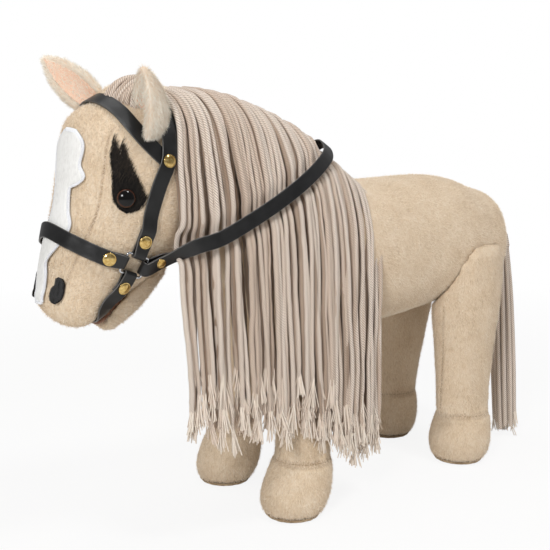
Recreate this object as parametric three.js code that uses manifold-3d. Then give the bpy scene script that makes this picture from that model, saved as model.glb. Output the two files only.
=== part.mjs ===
// Plush toy horse with a yarn mane and tail and a strap bridle, in millimetres.
// The horse faces -X and its left side is -Y. The ground is z = 0.
import * as THREE from 'three';
import { mergeVertices } from 'three/addons/utils/BufferGeometryUtils.js';
import Module from 'manifold-3d';

const wasm = await Module();
wasm.setup();

// Driving dimensions

const seamGap = 0.3;
const cutTolerance = 0.05;
const originForward = 45.8;
const originSide = 1.5;

// Torso: a stuffed barrel along X
const torsoChestX = -98;
const torsoLength = 250;
const torsoAxisHeight = 203;
const torsoHalfWidth = 57;
const backRise = 68;
const bellyDrop = 66;
const chestRound = 30;
const rumpRound = 40;
const rumpX = torsoChestX + torsoLength;
// along, half-width, rise, drop
const torsoShares = [
  [0, 0.82, 0.74, 0.78],
  [0.2, 0.95, 0.92, 0.97],
  [0.4, 1, 0.93, 1],
  [0.6, 1, 0.97, 0.93],
  [0.8, 1, 0.97, 0.82],
  [1, 0.86, 0.78, 0.74],
];

// Head: from the muzzle up and back to the poll
const muzzleX = -269;
const muzzleHeight = 183;
const headLength = 137;
const headSlope = 57.5;
const headHalfWidth = 46;
const faceRise = 67;
const cheekDrop = 46;
const cheekFullness = 2.7;
const noseRound = 15;
const pollRound = 38;
const headShares = [
  [0, 0.62, 0.38, 0.34],
  [0.25, 0.76, 0.57, 0.7],
  [0.45, 0.91, 0.71, 0.98],
  [0.62, 0.98, 0.85, 1.04],
  [0.82, 1, 1, 1],
  [1, 0.93, 0.85, 0.92],
];

// Neck: from the back of the head down into the chest
const neckBehindMuzzle = 91;
const neckTopX = muzzleX + neckBehindMuzzle;
const neckAboveMuzzle = 107;
const neckTopHeight = muzzleHeight + neckAboveMuzzle;
const neckRun = 116;
const neckFall = 87;
const neckHalfWidth = 46;
const crestRise = 75;
const throatDrop = 60;
const neckRound = 14;
const neckShares = [
  [0, 0.86, 0.66, 0.86],
  [0.35, 0.92, 0.78, 1],
  [0.7, 1, 0.93, 0.95],
  [1, 1.05, 1.01, 0.9],
];

// Lower jaw: a small stuffed pocket sewn under the muzzle
const jawBehindMuzzle = 22;
const jawX = muzzleX + jawBehindMuzzle;
const jawBelowMuzzle = 10;
const jawHeight = muzzleHeight - jawBelowMuzzle;
const jawLength = 56;
const jawSlope = 46;
const jawHalfWidth = 21;
const jawRise = 7;
const jawDrop = 20;
const jawRound = 8;
const jawShares = [
  [0, 0.85, 0.8, 0.75],
  [0.4, 1, 1, 1],
  [1, 0.95, 1, 1],
];

// Legs and hooves
const hoofHalfWidth = 30;
const hoofToeLength = 31;
const hoofHeelLength = 26.5;
const hoofHeight = 46;
const soleThickness = 2.5;
const soleShares = [
  [0, 0.74, 0.74, 0.74],
  [1, 0.8, 0.8, 0.8],
];
const hoofShares = [
  [0, 0.84, 0.84, 0.84],
  [0.12, 0.95, 0.96, 0.95],
  [0.4, 1, 1.02, 1],
  [0.75, 0.92, 0.93, 0.95],
  [1, 0.84, 0.84, 0.86],
];
const frontHoofX = -102.6;
const frontHoofSide = 47.9;
const frontFetlockX = -91;
const frontLegTopX = -82;
const frontLegTopSide = 42;
const frontLegTopHeight = 190;
const frontLegHalfLength = 33;
const frontLegHalfWidth = 28;
const frontLegShares = [
  [0, 0.72, 0.84, 0.72],
  [0.3, 0.73, 0.84, 0.73],
  [0.7, 0.85, 0.95, 0.85],
  [1, 0.95, 0.9, 1],
];
const hindHoofBeforeRump = 49.4;
const hindHoofX = rumpX - hindHoofBeforeRump;
const hindHoofSide = 47;
const hindFetlockBeforeRump = 43;
const hindFetlockX = rumpX - hindFetlockBeforeRump;
const hindLegBeforeRump = 35;
const hindLegTopX = rumpX - hindLegBeforeRump;
const hindLegTopSide = 38;
const hindLegTopHeight = 196;
const hindLegHalfLength = 42;
const hindLegHalfWidth = 29;
const hindLegShares = [
  [0, 0.65, 0.83, 0.65],
  [0.35, 0.74, 0.87, 0.76],
  [0.7, 0.94, 0.97, 0.94],
  [1, 0.98, 0.95, 0.98],
];
const legRound = 16;

// Ears: cupped leaves, each a plush back with a thin lining in its hollow
const earHalfWidth = 13.5;
const earThickness = 4.5;
const earLiningThickness = 1.6;
const earBaseDrop = 9;
const earSpread = 80;
const earRimShare = 0.82;
const earRoom = 1;
const earSweep = 12;
// along, width, cup
const earShares = [
  [0, 0.5, 0.55],
  [0.15, 0.85, 0.9],
  [0.4, 1, 1],
  [0.65, 0.88, 0.8],
  [0.86, 0.55, 0.45],
  [1, 0.12, 0.1],
];
// Each ear's root on the head and how it stands: directions forward, outward and up.
// The left one is folded almost shut and the right one lies open.
const earPlaces = {
  left: {
    alongShare: 0.975,
    degrees: 27,
    length: 38,
    cup: 18,
    lean: [0.04, 0.12, 1],
    facing: [1, -0.1, 0],
  },
  right: {
    alongShare: 1.02,
    degrees: 122,
    length: 47,
    cup: 7,
    lean: [0.55, 0.51, 0.66],
    facing: [0.65, -0.75, 0.1],
  },
};

// Eyes: gloss domes on ribbed stems, held inside by a snap washer
const eyeAlongShare = 0.571;
const eyeDegrees = 22.8;
const eyeRadius = 6.6;
const eyeDome = 4.2;
const eyeStemRadius = 1.8;
const eyeStemLength = 11;
const washerRadius = 6;
const washerThickness = 1.4;
const washerDepth = 7;
const pocketRoom = 0.6;
// radius and rise up the dome
const eyeDomeShares = [
  [1, 0],
  [0.96, 0.35],
  [0.72, 0.75],
  [0.38, 0.95],
];

// Mouth lining: a brown tongue of cloth seen in the corner of the mouth
const liningBehindMuzzle = 17;
const liningX = muzzleX + liningBehindMuzzle;
const liningBelowMuzzle = 13;
const liningHeight = muzzleHeight - liningBelowMuzzle;
const liningLength = 34;
const liningHalfWidth = 17;
const liningHalfThickness = 5;

// Flat pieces sewn to the head: along the head, first and last degrees round it
const panelLift = 0.6;
const patchThickness = 1;
const patchRows = [
  [0.515, 18, 25],
  [0.54, 13, 31],
  [0.577, 10, 33],
  [0.613, 11, 36],
  [0.657, 19, 40],
  [0.708, 25, 42],
  [0.76, 29, 42],
  [0.8, 35, 41],
];
const blazeThickness = 1.4;
const blazeRows = [
  [-0.05, 77, 94],
  [0.02, 78, 101],
  [0.08, 80, 107],
  [0.14, 84, 109],
  [0.22, 71, 105],
  [0.28, 63, 99],
  [0.34, 61, 94],
  [0.4, 67, 91],
  [0.5, 71, 92],
  [0.535, 64, 93],
  [0.575, 59, 95],
  [0.62, 65, 98],
  [0.69, 64, 100],
  [0.73, 66, 94],
  [0.765, 74, 86],
];
const nostrilThickness = 1.2;
const nostrilRows = [
  [-0.035, 50, 58],
  [-0.017, 45, 62.5],
  [0.008, 43, 64.5],
  [0.028, 43, 63.5],
  [0.044, 44, 60.5],
  [0.058, 44.5, 60.5],
  [0.076, 46.5, 60.5],
  [0.09, 50, 57.5],
];

// Bridle straps, rings and rivets
const strapWidth = 11.2;
const tipWidthShare = 0.84;
const strapThickness = 1.4;
const ringWidth = 17.5;
const ringHeight = 15;
const ringWire = 0.9;
const ringCorner = 2;
const ringAlongShare = 0.315;
const ringDegrees = -8;
const rivetRadius = 4.7;
const rivetDome = 1.7;
const rivetPostRadius = 1.4;
const rivetDomeShares = [
  [1, 0],
  [0.93, 0.6],
  [0.55, 0.95],
];
// Tracks over the head: share along it, degrees round it from the left side, and the
// number of leather layers underneath. On straps that fold round a ring, the first row
// is the rivet and the second the end of the folded-back tip.
const cheekTrack = [
  [0.437, -3.5, 1],
  [0.49, -2, 1],
  [0.56, 0, 0],
  [0.71, 5, 0],
  [0.84, 7.5, 1],
  [0.93, 13, 1],
  [1.02, 20, 0],
  [1.11, 34, 0],
  [1.18, 56, 0],
  [1.2, 90, 0],
];
const noseTrack = [
  [0.278, 12.5, 1],
  [0.272, 23, 1],
  [0.268, 36, 0.3],
  [0.272, 56, 1.25],
  [0.288, 90, 1.25],
];
const chinTrack = [
  [0.193, -17, 1],
  [0.15, -17.5, 1],
  [0.095, -19, 0],
  [0.055, -23, 0],
  [0.028, -38, 0],
  [0.018, -62, 0],
  [0.015, -90, 0],
];
const browTrack = [
  [0.838, 2, 0],
  [0.842, 10, 0],
  [0.87, 25, 0],
  [0.91, 39, 0],
  [0.948, 53, 0],
  [0.976, 72, 0],
  [0.986, 90, 0],
];

// Mane: yarn sewn along the crest, combed over to the left side
const crestBehindMuzzle = 39;
const crestFrontX = muzzleX + crestBehindMuzzle;
const crestAboveMuzzle = 159;
const crestTopHeight = muzzleHeight + crestAboveMuzzle;
const maneRun = 238;
const maneDrop = 200;
const maneBulge = 82;
const maneThickness = 9;
const maneLockCount = 5;
const maneSwingHeight = 196;
const maneHingeSide = -64;
const maneLockSwell = 1.6;
const maneTuck = 16;
const maneCheekRoom = 15;
const maneLiftDegrees = 20;
// along the crest: run, fall of the crest, drop of the ends, bulge, run of the ends
const crestShares = [
  [0, 0.004, 1.295, 0.71, 0.105],
  [0.14, 0.004, 1.334, 0.75, 0.215],
  [0.3, 0.006, 1.34, 0.84, 0.36],
  [0.48, 0.044, 1.31, 0.93, 0.49],
  [0.66, 0.115, 1.28, 0.96, 0.625],
  [0.84, 0.218, 1.24, 0.92, 0.755],
  [1, 0.325, 1.145, 0.82, 0.875],
];
// down each strand: drop, sideways, drift towards its end, tuck behind the ear, thickness
const strandShares = [
  [0, -0.1, 0, 0.2, 0.5],
  [0.005, 0.08, 0.02, 0.5, 0.7],
  [0.03, 0.3, 0.1, 1, 0.8],
  [0.1, 0.55, 0.25, 1, 0.95],
  [0.22, 0.75, 0.45, 0.6, 1],
  [0.38, 0.88, 0.7, 0.3, 1],
  [0.58, 0.95, 0.88, 0, 1],
  [0.8, 0.99, 0.96, 0, 0.9],
  [1, 1, 1, 0, 0.75],
];

// Tail: a bound root sewn to the rump and a hank of yarn below it
const tailRootX = rumpX + rumpRound;
const tailRootHeight = 206;
const tailRootRadius = 10;
const tailEndBehindRoot = 2;
const tailEndX = tailRootX + tailEndBehindRoot;
// The hank hangs this far behind its root, clear of the rump.
const tailHairOut = 1.6;
const tailEndSide = -31;
const tailEndHeight = 5;
const tailTopSide = -18;
const tailHalfWidth = 13;
const tailLiftDegrees = 50;
const tailSwingDegrees = 20;
const tailRootShares = [
  [0, 0.85, 0.85, 0.85],
  [1, 1, 1, 1],
];
const tailShares = [
  [0, 0.95, 0.85, 0.85],
  [0.3, 1, 1, 0.95],
  [0.7, 0.9, 0.9, 0.85],
  [1, 0.6, 0.62, 0.6],
];

// Rein: one strap from ring to ring over the mane
const reinTip = [
  [0.407, -27, 1],
  [0.435, -34, 1],
];
// over the mane: share along the crest, share down the strands
const reinManeTrack = [
  [0.045, 0.442],
  [0.15, 0.416],
  [0.27, 0.37],
  [0.41, 0.303],
  [0.53, 0.228],
  [0.64, 0.143],
  [0.73, 0.065],
  [0.79, 0.005],
];
// over the bare side of the neck: share along it, degrees, distance off it
const reinNeckTrack = [
  [0.74, 112, 3],
  [0.65, 138, 3.5],
  [0.5, 168, 5],
  [0.34, 188, 7.5],
];
const reinLift = 1.6;
const reinFoldRoom = 1.1;
const reinManeRoom = 1.8;
const reinLiftDegrees = 12;

const colours = {
  pile: 0xd8c2a2,
  shadedPile: 0xc9b08e,
  earLining: 0xe2b595,
  mouth: 0x6b4a36,
  white: 0xf2f0ec,
  black: 0x141312,
  leather: 0x17181a,
  brass: 0xc9a45a,
  steel: 0xb9bcc0,
  yarn: 0xc4b3a1,
};

// Geometry helpers

const point = (x, y, z) => new THREE.Vector3(x, y, z);
const radians = THREE.MathUtils.degToRad;

// Smooth reading of a table of shares at a row position between 0 and its last row.
function readShares(shares, row) {
  const last = shares.length - 1;
  const at = Math.min(Math.max(row, 0), last);
  const low = Math.min(Math.floor(at), last - 1);
  const part = at - low;
  const rows = [low - 1, low, low + 1, low + 2].map((k) => shares[Math.min(Math.max(k, 0), last)]);
  return rows[0].map((_, column) => {
    const [a, b, c, d] = rows.map((values) => values[column]);
    const cubic = -a + 3 * b - 3 * c + d;
    const square = 2 * a - 5 * b + 4 * c - d;
    return b + 0.5 * part * (c - a + part * (square + part * cubic));
  });
}

// The row position whose first column holds the given share of the length.
function rowAt(shares, along) {
  let low = 0;
  let high = shares.length - 1;
  for (let step = 0; step < 30; step += 1) {
    const middle = (low + high) / 2;
    if (readShares(shares, middle)[0] < along) low = middle;
    else high = middle;
  }
  return (low + high) / 2;
}

// A stuffed form round a straight axis from start to end. Its sections lie across the
// axis: wide is measured along Y, up and down across it in the XZ plane. A level form
// stands, so its sections are horizontal and up means towards the front of the horse.
function softForm({
  start, end, wide, up, down, shares, startRound, endRound, fullness = 2,
  lowerFullness = fullness, level = false,
}) {
  const axis = end.clone().sub(start);
  const length = axis.length();
  const forward = axis.clone().normalize();
  const side = point(0, 1, 0);
  const top = level ? point(-1, 0, 0) : forward.clone().cross(side).normalize();
  // The place on the surface a distance along the axis, at an angle round it from the
  // left side (0) over the top (90), with the surface moved out by grow.
  const surface = (distance, angle, grow = 0) => {
    const inside = Math.min(Math.max(distance, 0), length);
    const over = distance - inside;
    const round = over > 0 ? endRound + grow : startRound + grow;
    const capShare = Math.sqrt(Math.max(0, 1 - (over / round) ** 2));
    const [, wideShare, upShare, downShare] = readShares(shares, rowAt(shares, inside / length));
    const cosine = Math.cos(angle);
    const sine = Math.sin(angle);
    const power = 2 / (sine > 0 ? fullness : lowerFullness);
    const across = -Math.sign(cosine) * Math.abs(cosine) ** power * (wide * wideShare + grow);
    const depth = sine > 0 ? up * upShare + grow : down * downShare + grow;
    const rise = Math.sign(sine) * Math.abs(sine) ** power * depth;
    return start.clone()
      .addScaledVector(forward, distance)
      .addScaledVector(side, across * capShare)
      .addScaledVector(top, rise * capShare);
  };
  // The outward direction there
  const normal = (distance, angle) => {
    const step = length / 200;
    const turn = radians(1);
    const lengthwise = surface(distance + step, angle).sub(surface(distance - step, angle));
    const around = surface(distance, angle + turn).sub(surface(distance, angle - turn));
    return lengthwise.cross(around).normalize();
  };
  return { start, end, length, forward, side, top, startRound, endRound, surface, normal };
}

function indexedGeometry(places, faces) {
  const geometry = new THREE.BufferGeometry();
  const coordinates = places.flatMap((place) => [place.x, place.y, place.z]);
  geometry.setAttribute('position', new THREE.Float32BufferAttribute(coordinates, 3));
  geometry.setIndex(faces);
  return geometry;
}

// Turns every face the other way round.
function flipFaces(faces) {
  for (let k = 0; k < faces.length; k += 3) {
    [faces[k], faces[k + 1]] = [faces[k + 1], faces[k]];
  }
}

// Closed geometry from rings of equal count, closed by a point or a flat end.
function ringsGeometry(rings, startPoint, endPoint) {
  const sides = rings[0].length;
  const places = rings.flat();
  places.push(startPoint, endPoint);
  const startIndex = places.length - 2;
  const endIndex = places.length - 1;
  const faces = [];
  for (let ring = 0; ring < rings.length - 1; ring += 1) {
    for (let k = 0; k < sides; k += 1) {
      const next = (k + 1) % sides;
      const a = ring * sides + k;
      const b = ring * sides + next;
      const c = a + sides;
      const d = b + sides;
      faces.push(a, d, b, a, c, d);
    }
  }
  const lastRing = (rings.length - 1) * sides;
  for (let k = 0; k < sides; k += 1) {
    const next = (k + 1) % sides;
    faces.push(startIndex, k, next);
    faces.push(endIndex, lastRing + next, lastRing + k);
  }
  return indexedGeometry(places, faces);
}

function centreOf(places) {
  const sum = places.reduce((total, place) => total.add(place), point(0, 0, 0));
  return sum.divideScalar(places.length);
}

// The solid of a soft form, moved out all round by grow.
function formSolid(form, { sides, rings, capRings = 4, grow = 0, flatStart = false, flatEnd = false }) {
  const distances = [];
  if (!flatStart) {
    for (let k = capRings - 1; k > 0; k -= 1) {
      distances.push(-(form.startRound + grow) * Math.sin((k / capRings) * radians(90)));
    }
  }
  for (let k = 0; k <= rings; k += 1) distances.push((form.length * k) / rings);
  if (!flatEnd) {
    for (let k = 1; k < capRings; k += 1) {
      distances.push(form.length + (form.endRound + grow) * Math.sin((k / capRings) * radians(90)));
    }
  }
  const loops = distances.map((distance) => Array.from(
    { length: sides },
    (_, k) => form.surface(distance, radians(360) * (k / sides), grow),
  ));
  const startPoint = flatStart
    ? centreOf(loops[0])
    : form.start.clone().addScaledVector(form.forward, -form.startRound - grow);
  const endPoint = flatEnd
    ? centreOf(loops.at(-1))
    : form.end.clone().addScaledVector(form.forward, form.endRound + grow);
  return toSolid(ringsGeometry(loops, startPoint, endPoint));
}

function toSolid(geometry) {
  const plain = geometry.clone();
  plain.deleteAttribute('normal');
  plain.deleteAttribute('uv');
  const merged = mergeVertices(plain, 1e-4);
  const mesh = new wasm.Mesh({
    numProp: 3,
    vertProperties: new Float32Array(merged.attributes.position.array),
    triVerts: new Uint32Array(merged.index.array),
  });
  const solid = new wasm.Manifold(mesh);
  if (solid.volume() < 0) throw new Error('a solid is inside out');
  return solid;
}

function toGeometry(solid) {
  const mesh = solid.getMesh();
  const geometry = new THREE.BufferGeometry();
  geometry.setAttribute('position', new THREE.Float32BufferAttribute(mesh.vertProperties, 3));
  geometry.setIndex(Array.from(mesh.triVerts));
  geometry.computeVertexNormals();
  return geometry;
}

function unionOf(solids) {
  return solids.reduce((all, one) => all.add(one));
}

// A solid without the rooms of its neighbours, and without the scraps that a cut leaves.
function cutBy(solid, ...rooms) {
  return solid.subtract(unionOf(rooms)).asOriginal().simplify(cutTolerance).decompose()
    .reduce((best, one) => (one.volume() > best.volume() ? one : best));
}

function sweepAngles(first, last, steps = 6) {
  return Array.from({ length: steps + 1 }, (_, k) => first + ((last - first) * k) / steps);
}

// All the room that a solid takes when it turns about an axis through these angles.
// What a turning piece would meet is swept through the opposite angles.
function sweptRoom(solid, pivot, axis, angles) {
  return unionOf(angles.map((degrees) => {
    const turn = new THREE.Matrix4().makeTranslation(pivot.x, pivot.y, pivot.z)
      .multiply(new THREE.Matrix4().makeRotationAxis(axis, radians(degrees)))
      .multiply(new THREE.Matrix4().makeTranslation(-pivot.x, -pivot.y, -pivot.z));
    return solid.transform(turn.elements);
  }));
}

const horse = new THREE.Group();
horse.position.set(originForward, originSide, 0);

function addPiece(name, solid, colour, roughness = 0.9, metalness = 0) {
  const material = new THREE.MeshStandardMaterial({ color: colour, roughness, metalness });
  const mesh = new THREE.Mesh(toGeometry(solid), material);
  mesh.name = name;
  horse.add(mesh);
  return mesh;
}

// Torso, neck, head and jaw

const torsoForm = softForm({
  start: point(torsoChestX, 0, torsoAxisHeight),
  end: point(torsoChestX + torsoLength, 0, torsoAxisHeight),
  wide: torsoHalfWidth,
  up: backRise,
  down: bellyDrop,
  shares: torsoShares,
  startRound: chestRound,
  endRound: rumpRound,
  fullness: 2.2,
});
const torsoDetail = { sides: 20, rings: 10 };
const torso = formSolid(torsoForm, torsoDetail);
const aroundTorso = formSolid(torsoForm, { ...torsoDetail, grow: seamGap });
addPiece('torso', torso, colours.pile);

const headDirection = point(Math.cos(radians(headSlope)), 0, Math.sin(radians(headSlope)));
const muzzlePoint = point(muzzleX, 0, muzzleHeight);
const headForm = softForm({
  start: muzzlePoint,
  end: muzzlePoint.clone().addScaledVector(headDirection, headLength),
  wide: headHalfWidth,
  up: faceRise,
  down: cheekDrop,
  shares: headShares,
  startRound: noseRound,
  endRound: pollRound,
  lowerFullness: cheekFullness,
});
const headDetail = { sides: 24, rings: 12 };
const plainHead = formSolid(headForm, headDetail);
const aroundHead = formSolid(headForm, { ...headDetail, grow: seamGap });

const neckForm = softForm({
  start: point(neckTopX, 0, neckTopHeight),
  end: point(neckTopX + neckRun, 0, neckTopHeight - neckFall),
  wide: neckHalfWidth,
  up: crestRise,
  down: throatDrop,
  shares: neckShares,
  startRound: neckRound,
  endRound: neckRound,
});
const neckDetail = { sides: 20, rings: 6, capRings: 2 };
addPiece('neck', cutBy(formSolid(neckForm, neckDetail), aroundTorso, aroundHead), colours.pile);

const aroundNeck = formSolid(neckForm, { ...neckDetail, grow: seamGap });

// Legs with their hooves and soles

const legDetail = { sides: 14, rings: 5, capRings: 3, flatStart: true };

function addLeg(label, side, sizes) {
  const across = sizes.hoofSide * side;
  const hoofForm = softForm({
    start: point(sizes.hoofX, across, soleThickness + seamGap),
    end: point(sizes.fetlockX, across, hoofHeight),
    wide: hoofHalfWidth,
    up: hoofToeLength,
    down: hoofHeelLength,
    shares: hoofShares,
    startRound: legRound,
    endRound: legRound,
    level: true,
  });
  const legForm = softForm({
    start: point(sizes.fetlockX, across, hoofHeight + seamGap),
    end: point(sizes.topX, sizes.topSide * side, sizes.topHeight),
    wide: sizes.halfWidth,
    up: sizes.halfLength,
    down: sizes.halfLength,
    shares: sizes.shares,
    startRound: legRound,
    endRound: legRound,
    level: true,
  });
  const leg = formSolid(legForm, legDetail);
  addPiece(`leg_${label}`, cutBy(leg, aroundTorso), colours.pile);
  const hoof = formSolid(hoofForm, { sides: 16, rings: 5, flatStart: true, flatEnd: true });
  addPiece(`hoof_${label}`, hoof, colours.pile);
  const soleForm = softForm({
    start: point(sizes.hoofX, across, 0),
    end: point(sizes.hoofX, across, soleThickness),
    wide: hoofHalfWidth,
    up: hoofToeLength,
    down: hoofHeelLength,
    shares: soleShares,
    startRound: soleThickness,
    endRound: soleThickness,
    level: true,
  });
  const sole = formSolid(soleForm, { sides: 16, rings: 1, flatStart: true, flatEnd: true });
  addPiece(`sole_${label}`, sole, colours.shadedPile);
  return legForm;
}

const frontLegSizes = {
  hoofX: frontHoofX,
  hoofSide: frontHoofSide,
  fetlockX: frontFetlockX,
  topX: frontLegTopX,
  topSide: frontLegTopSide,
  topHeight: frontLegTopHeight,
  halfLength: frontLegHalfLength,
  halfWidth: frontLegHalfWidth,
  shares: frontLegShares,
};
const hindLegSizes = {
  hoofX: hindHoofX,
  hoofSide: hindHoofSide,
  fetlockX: hindFetlockX,
  topX: hindLegTopX,
  topSide: hindLegTopSide,
  topHeight: hindLegTopHeight,
  halfLength: hindLegHalfLength,
  halfWidth: hindLegHalfWidth,
  shares: hindLegShares,
};
const frontLegForms = {};
for (const [sideName, side] of [['left', -1], ['right', 1]]) {
  frontLegForms[sideName] = addLeg(`front_${sideName}`, side, frontLegSizes);
  addLeg(`hind_${sideName}`, side, hindLegSizes);
}
const leftFrontLegRoom = formSolid(frontLegForms.left, { ...legDetail, grow: seamGap });

// Eyes, their washers and the pockets that hold them

// A round solid from its profile, standing on a place and pointing outwards.
function turnedPiece(profile, segments, place, outward) {
  const geometry = new THREE.LatheGeometry(profile.map(([x, y]) => new THREE.Vector2(x, y)), segments);
  const turn = new THREE.Quaternion().setFromUnitVectors(point(0, 1, 0), outward);
  geometry.applyQuaternion(turn);
  geometry.translate(place.x, place.y, place.z);
  return toSolid(geometry);
}

function mirrored(degrees, side) {
  return radians(side < 0 ? degrees : 180 - degrees);
}

function placeOnHead(alongShare, degrees, side, height = 0) {
  const distance = alongShare * headLength;
  const angle = mirrored(degrees, side);
  const outward = headForm.normal(distance, angle);
  const place = headForm.surface(distance, angle).addScaledVector(outward, height);
  return { place, outward };
}

const eyeSides = 14;
const patchTop = panelLift + patchThickness;
const sides = [['left', -1], ['right', 1]];
const eyes = [];
const headCuts = [];
for (const [sideName, side] of sides) {
  const { place, outward } = placeOnHead(eyeAlongShare, eyeDegrees, side);
  const domeBase = patchTop + seamGap;
  const washerTop = domeBase - washerDepth;
  const stemEnd = domeBase - eyeStemLength;
  const domeProfile = [
    [0, stemEnd],
    [eyeStemRadius, stemEnd],
    [eyeStemRadius, domeBase],
    ...eyeDomeShares.map(([out, rise]) => [eyeRadius * out, domeBase + eyeDome * rise]),
    [0, domeBase + eyeDome],
  ];
  eyes.push([`eye_${sideName}`, turnedPiece(domeProfile, eyeSides, place, outward)]);
  const hole = eyeStemRadius + seamGap;
  const washerProfile = [
    [hole, washerTop - washerThickness],
    [washerRadius, washerTop - washerThickness],
    [washerRadius, washerTop],
    [hole, washerTop],
    [hole, washerTop - washerThickness],
  ];
  eyes.push([`eye_washer_${sideName}`, turnedPiece(washerProfile, eyeSides, place, outward)]);
  const pocketProfile = [
    [0, stemEnd - seamGap],
    [hole, stemEnd - seamGap],
    [hole, washerTop - washerThickness - seamGap],
    [washerRadius + pocketRoom, washerTop - washerThickness - seamGap],
    [washerRadius + pocketRoom, washerTop + seamGap],
    [hole, washerTop + seamGap],
    [hole, patchTop + seamGap],
    [0, patchTop + seamGap],
  ];
  headCuts.push(turnedPiece(pocketProfile, eyeSides, place, outward));
}
for (const [name, solid] of eyes) {
  const isDome = !name.includes('washer');
  addPiece(name, solid, isDome ? colours.black : colours.white, isDome ? 0.05 : 0.5);
}
const eyePockets = unionOf(headCuts);

// Panels sewn flat on the head

// A thin panel over the head from rows of [share along, first degrees, last degrees].
function sewnPanel(rows, side, thickness, columns) {
  const face = (height) => rows.map(([along, first, last]) => Array.from(
    { length: columns + 1 },
    (_, k) => {
      const degrees = first + ((last - first) * k) / columns;
      return headForm.surface(along * headLength, mirrored(degrees, side), height);
    },
  ));
  return sheetSolid(face(panelLift + thickness), face(panelLift), side < 0);
}

// A closed solid between two grids of points of the same size.
function sheetSolid(outer, inner, flip = false) {
  const rowCount = outer.length;
  const columnCount = outer[0].length;
  const places = [...outer.flat(), ...inner.flat()];
  const offset = rowCount * columnCount;
  const faces = [];
  const quad = (a, b, c, d) => faces.push(a, b, c, a, c, d);
  for (let row = 0; row < rowCount - 1; row += 1) {
    for (let column = 0; column < columnCount - 1; column += 1) {
      const a = row * columnCount + column;
      const b = a + 1;
      const c = b + columnCount;
      const d = a + columnCount;
      quad(a, b, c, d);
      quad(offset + a, offset + d, offset + c, offset + b);
    }
  }
  const edge = [];
  for (let column = 0; column < columnCount; column += 1) edge.push(column);
  for (let row = 1; row < rowCount; row += 1) edge.push(row * columnCount + columnCount - 1);
  for (let column = columnCount - 2; column >= 0; column -= 1) {
    edge.push((rowCount - 1) * columnCount + column);
  }
  for (let row = rowCount - 2; row > 0; row -= 1) edge.push(row * columnCount);
  edge.forEach((a, k) => {
    const b = edge[(k + 1) % edge.length];
    quad(b, a, offset + a, offset + b);
  });
  if (flip) flipFaces(faces);
  return toSolid(indexedGeometry(places, faces));
}

for (const [sideName, side] of sides) {
  const patch = sewnPanel(patchRows, side, patchThickness, 3);
  const nostril = sewnPanel(nostrilRows, side, nostrilThickness, 2);
  addPiece(`eye_patch_${sideName}`, cutBy(patch, eyePockets, aroundHead), colours.black);
  addPiece(`nostril_${sideName}`, cutBy(nostril, aroundHead), colours.black);
}

const blaze = sewnPanel(blazeRows, -1, blazeThickness, 4);
addPiece('blaze', cutBy(blaze, aroundHead), colours.white);

// Bridle

// A flat strap along a list of { place, outward } stations, as a closed ribbon.
function strapSolid(stations, width, thickness) {
  const loops = stations.map(({ place, outward }, k) => {
    const before = stations[Math.max(k - 1, 0)].place;
    const after = stations[Math.min(k + 1, stations.length - 1)].place;
    const forward = after.clone().sub(before).normalize();
    const across = forward.clone().cross(outward).normalize();
    const upright = across.clone().cross(forward).normalize();
    const widthShare = stations[k].widthShare ?? 1;
    const corner = (a, b) => place.clone()
      .addScaledVector(across, (a * width * widthShare) / 2)
      .addScaledVector(upright, (b * thickness) / 2);
    return [corner(-1, -1), corner(1, -1), corner(1, 1), corner(-1, 1)];
  });
  return toSolid(ringsGeometry(loops, centreOf(loops[0]), centreOf(loops.at(-1))));
}

// Stations read smoothly from chosen ones, some per stretch.
function smoothStations(stations, perStretch) {
  const places = new THREE.CatmullRomCurve3(stations.map(({ place }) => place), false, 'centripetal');
  const outwards = new THREE.CatmullRomCurve3(stations.map(({ outward }) => outward));
  const count = (stations.length - 1) * perStretch;
  return Array.from({ length: count + 1 }, (_, k) => ({
    place: places.getPoint(k / count),
    outward: outwards.getPoint(k / count).normalize(),
    widthShare: stations[Math.round(k / perStretch)].widthShare,
  }));
}

const layerStep = strapThickness + seamGap;
const lowLayer = 2 * seamGap + strapThickness / 2;
const foldRadius = ringWire + 1.5 * seamGap + strapThickness / 2;
const ringLift = lowLayer + foldRadius;

function stationOnHead([along, degrees], side, layer, turn = 1) {
  const { place, outward } = placeOnHead(along, degrees, side, lowLayer + layer * layerStep);
  return { place, outward: outward.multiplyScalar(turn) };
}

// The ring's middle and its own directions: up the cheek, forward and outward.
function ringFrame(side) {
  const { place, outward } = placeOnHead(ringAlongShare, ringDegrees, side, ringLift);
  const above = placeOnHead(cheekTrack[0][0], cheekTrack[0][1], side, ringLift).place;
  const up = above.sub(place);
  up.addScaledVector(outward, -up.dot(outward)).normalize();
  const forward = up.clone().cross(outward).multiplyScalar(side < 0 ? -1 : 1).normalize();
  return { place, outward, up, forward };
}

// The tip of a strap: tucked back under itself round a bar of the ring, then on top.
function foldedTip(track, side, bar, away, outward, radius) {
  const lift = (2 * (radius - foldRadius)) / layerStep;
  const under = [stationOnHead(track[1], side, lift, -1), stationOnHead(track[0], side, lift, -1)];
  const fold = [-90, -45, 0, 45, 90].map((degrees) => {
    const direction = away.clone().multiplyScalar(-Math.cos(radians(degrees)))
      .addScaledVector(outward, Math.sin(radians(degrees)));
    const place = bar.clone().addScaledVector(direction, radius);
    return { place, outward: direction, widthShare: tipWidthShare };
  });
  return [...under, ...fold];
}

function trackStations(track, side) {
  return track.map((row) => stationOnHead(row, side, row[2]));
}

const rings = { left: ringFrame(-1), right: ringFrame(1) };

function barOf(frame, direction, reach) {
  return frame.place.clone().addScaledVector(direction, reach / 2);
}

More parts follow.
